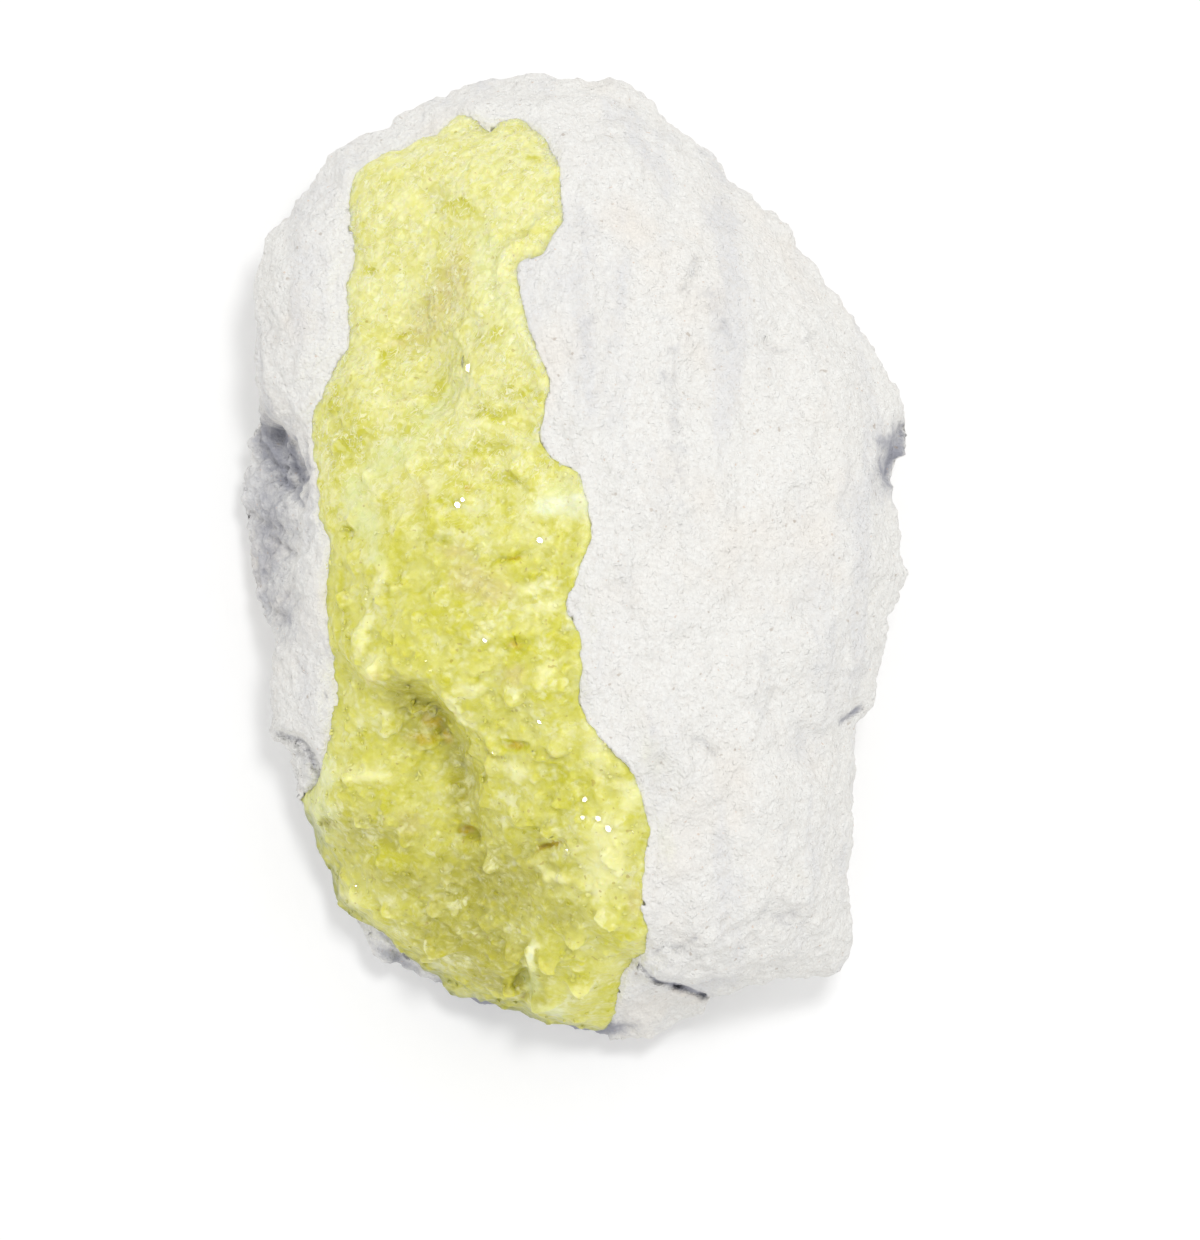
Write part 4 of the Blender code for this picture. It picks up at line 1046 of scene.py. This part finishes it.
def stone_material():
    nodes = Nodes("pale_stone", STONE_TINTS)
    grain, grain_tone = nodes.cells(0.42, nodes.stretched((1.0, 1.0, 1.0), 0.0, 0.5))
    colour = nodes.tinted(
        nodes.tint("white"),
        (nodes.noise(11.0), 0.50, 0.72, 0.40, "warm"),
        (nodes.number("warmth"), 0.10, 1.00, 0.55, "warm"),
        (nodes.number("stain"), 0.10, 1.00, 0.60, "stain"),
        (nodes.noise(4.0, place=nodes.stretched((1.0, 0.25, 0.6))), 0.48, 0.72, 0.75, "cool"),
        (nodes.noise(2.2, 4.0, 0.7), 0.52, 0.74, 0.45, "dust"),
        (grain_tone, 0.35, 0.75, 0.22, "grain"),
        (grain, 0.45, 0.80, 0.22, "gap"),
        (nodes.noise(0.5, 3.0, 0.6), 0.50, 0.70, 0.35, "fine"),
        # Painted shade, broken up by noise, turns the stone grey.
        (nodes.sum(nodes.number("painted_shade_and_grey"), nodes.noise(1.3, 4.0, 0.75)), 0.55, 1.50, 0.95, "painted_shade_grey"),
        (nodes.noise(0.8, 1.0), 0.72, 0.80, 0.50, "speck"),
        (nodes.noise(0.42, 1.0), 0.72, 0.80, 0.45, "rust"),
    )
    rough = nodes.bump(nodes.noise(0.9, 4.0, 0.70), 0.36)
    normal = nodes.bump(nodes.ramp(grain, 0.1, 0.7, 1.0, 0.0), 0.07, rough)
    return nodes.finished(Base_Color=colour, Normal=normal, Roughness=0.92, Specular_IOR_Level=0.3)


def sulfur_colour(nodes):
    """The sulfur's colour, and the height of its fine scales."""
    upper = nodes.number("upper")
    upper_scales, _ = nodes.cells(0.85, nodes.stretched((0.72, 1.4, 1.0), STROKE_TURNS[0], 1.0))
    lower_scales, _ = nodes.cells(0.95, nodes.stretched((0.85, 1.3, 1.0), STROKE_TURNS[1], 1.2))
    scales = nodes.mix(upper, lower_scales, upper_scales)
    mottle = nodes.noise(1.1, 4.0, 0.62, distortion=0.8)
    blotch = nodes.noise(2.4, 2.0, 0.5, distortion=1.0)
    tone = nodes.sum(nodes.number("tone"), upper, -0.5)
    colour = nodes.tinted(
        nodes.tint("lemon"),
        (nodes.noise(3.2, 3.0, 0.6), 0.40, 0.66, 1.00, "pale"),
        (mottle, 0.50, 0.72, 0.50, "lemon"),
        (blotch, 0.50, 0.62, 0.65, "pale"),
        (blotch, 0.46, 0.36, 0.60, "deep"),
        (tone, 0.0, 1.0, 0.40, "pale"),
        (tone, -0.2, -1.4, 0.35, "deep"),
        # Painted light: the lower part deeper and the upper part paler, partly for how light falls on them.
        (upper, 0.6, 0.0, 0.58, "deep"),
        (upper, 0.6, 1.0, 0.50, "pale_and_painted_light"),
    )
    # Of these patches, olive is painted shade and blush is partly painted shade.
    for name, low, most in (
        ("blush_and_shade", 0.32, 0.75), ("green", 0.32, 0.80), ("olive_painted_shade", 0.12, 0.88), ("deep", 0.32, 0.90),
        ("pale", 0.32, 0.85), ("gold", 0.42, 0.90), ("white", 0.42, 0.85),
    ):
        colour = nodes.tinted(colour, (nodes.sum(nodes.number(name), mottle, 0.6), low, 1.15, most, name))
    # Pale flecks, partly painted glints.
    for size, turn, most in ((2.4, 10.0, 0.70), (1.1, 30.0, 0.50), (0.5, -30.0, 0.30)):
        distance, chance = nodes.cells(size, nodes.stretched((0.75, 1.3, 1.0), turn, 1.3 * size))
        pale_flecks_and_glints = nodes.product(nodes.ramp(distance, 0.70, 0.12, 0.0, most), nodes.ramp(chance, 0.46, 0.70))
        colour = nodes.mix(nodes.product(pale_flecks_and_glints, nodes.ramp(mottle, 0.36, 0.60)), colour, nodes.tint("fleck_and_glint"))
    colour = nodes.tinted(colour, (nodes.noise(0.6, 1.0), 0.30, 0.24, 0.5, "speck"))
    # The smallest flecks' own chances tint the scales too.
    scaled = nodes.tinted(
        colour, (chance, 0.45, 0.65, 0.45, "pale"), (chance, 0.40, 0.20, 0.35, "deep"),
        # Painted shade in the creases between the scales.
        (scales, 0.45, 0.75, 0.40, "deep"),
    )
    colour = nodes.mix(nodes.ramp(upper, 0.0, 0.9, 0.2, 0.7), colour, scaled)
    # Painted highlight: thin pale lines along the scales, which also raise the bump.
    across = nodes.stretched((0.8, 1.2, 1.0), STROKE_TURNS[0], 0.6)
    lines = nodes.ramp(nodes.fold(nodes.noise(0.75, 1.0, place=across, distortion=0.9)), 0.455, 0.492)
    painted_highlight_lines = nodes.product(lines, nodes.ramp(nodes.noise(1.5), 0.40, 0.52))
    painted_highlight_lines = nodes.product(painted_highlight_lines, nodes.ramp(upper, 0.1, 0.8, 0.1, 0.9))
    colour = nodes.mix(painted_highlight_lines, colour, nodes.tint("rim"))
    # Painted shade on the crust's low, steep sides.
    under = nodes.sum(nodes.number("under"), mottle, 0.6)
    colour = nodes.tinted(colour, (under, 0.35, 1.15, 0.75, "under"))
    height = nodes.sum(nodes.ramp(scales, 0.0, 0.75, 1.0, 0.0), painted_highlight_lines, 0.5)
    return colour, nodes.product(height, nodes.ramp(upper, 0.0, 0.8, 0.45, 1.0))


def sulfur_skin_material():
    nodes = Nodes("sulfur_skin", SULFUR_TINTS)
    colour, scales = sulfur_colour(nodes)
    normal = nodes.bump(nodes.noise(0.35, 2.0), 0.05, nodes.bump(scales, 0.15))
    return nodes.finished(
        Base_Color=colour, Normal=normal, Roughness=0.34, IOR=1.55, Specular_IOR_Level=0.35,
        Subsurface_Weight=0.85, Subsurface_Scale=1.1 * MM, Subsurface_Radius=(1.0, 0.9, 0.3),
    )


def sulfur_crystal_material():
    nodes = Nodes("sulfur_crystals", SULFUR_TINTS)
    colour, _ = sulfur_colour(nodes)
    return nodes.finished(Base_Color=colour, Roughness=0.10, IOR=1.7)


def floor_material():
    nodes = Nodes("pale_floor", FLOOR_TINTS)
    colour = nodes.mix(nodes.noise(60.0), nodes.tint("pale"), nodes.tint("paler"))
    return nodes.finished(Base_Color=colour, Roughness=0.9, Specular_IOR_Level=0.2)


# The studio


def add_floor():
    half = FLOOR_SIZE / 2.0 * MM
    mesh = bpy.data.meshes.new("floor")
    corners = ((-half, -half, 0.0), (half, -half, 0.0), (half, half, 0.0), (-half, half, 0.0))
    mesh.from_pydata(corners, [], [(0, 1, 2, 3)])
    mesh.materials.append(floor_material())
    new_object("floor", mesh)


def add_area_light(name, place, size, power):
    data = bpy.data.lights.new(name, "AREA")
    data.energy = power
    data.size = size * MM
    light = new_object(name, data)
    light.location = Vector(place) * MM
    light.rotation_euler = (-light.location).to_track_quat("-Z", "Y").to_euler()


def add_sky():
    world = bpy.data.worlds.new("studio")
    world.use_nodes = True
    background = world.node_tree.nodes["Background"]
    background.inputs["Color"].default_value = (1.0, 1.0, 1.0, 1.0)
    background.inputs["Strength"].default_value = SKY_STRENGTH
    bpy.context.scene.world = world


def add_camera():
    data = bpy.data.cameras.new("camera")
    data.lens = CAMERA_LENS
    camera = new_object("camera", data)
    camera.location = Vector(CAMERA_PLACE) * MM
    bpy.context.scene.camera = camera


def dress(piece, material):
    """Gives a piece its material and slot, and puts it on the object's one body."""
    piece.data.materials.clear()
    piece.data.materials.append(material)
    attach(piece, "root")


def build_object():
    draw = np.random.RandomState(GRAIN_SEED)
    graph = bpy.context.evaluated_depsgraph_get()
    stone_tree = BVHTree.FromObject(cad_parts["matrix"], graph)
    crust = build_crust_blank()
    crust_tree = BVHTree.FromObject(crust, bpy.context.evaluated_depsgraph_get())
    walls = wall_tree(crust, stone_tree, crust_tree)

    stone, levels = build_stone(crust, stone_tree, crust_tree, walls)
    raise_edge(crust, walls, levels)
    dress(stone, stone_material())
    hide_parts("matrix")

    skin = build_skin(crust, stone, stone_tree, build_grains(crust, draw, walls, crust_tree))
    dress(skin, sulfur_skin_material())
    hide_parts("sulfur_crust")

    dress(build_crystals(skin, draw), sulfur_crystal_material())
    bpy.data.objects.remove(crust, do_unlink=True)


build_object()
add_floor()
add_area_light("key", KEY_PLACE, KEY_SIZE, KEY_POWER)
add_sky()
add_camera()
bpy.context.scene.view_settings.view_transform = "Standard"
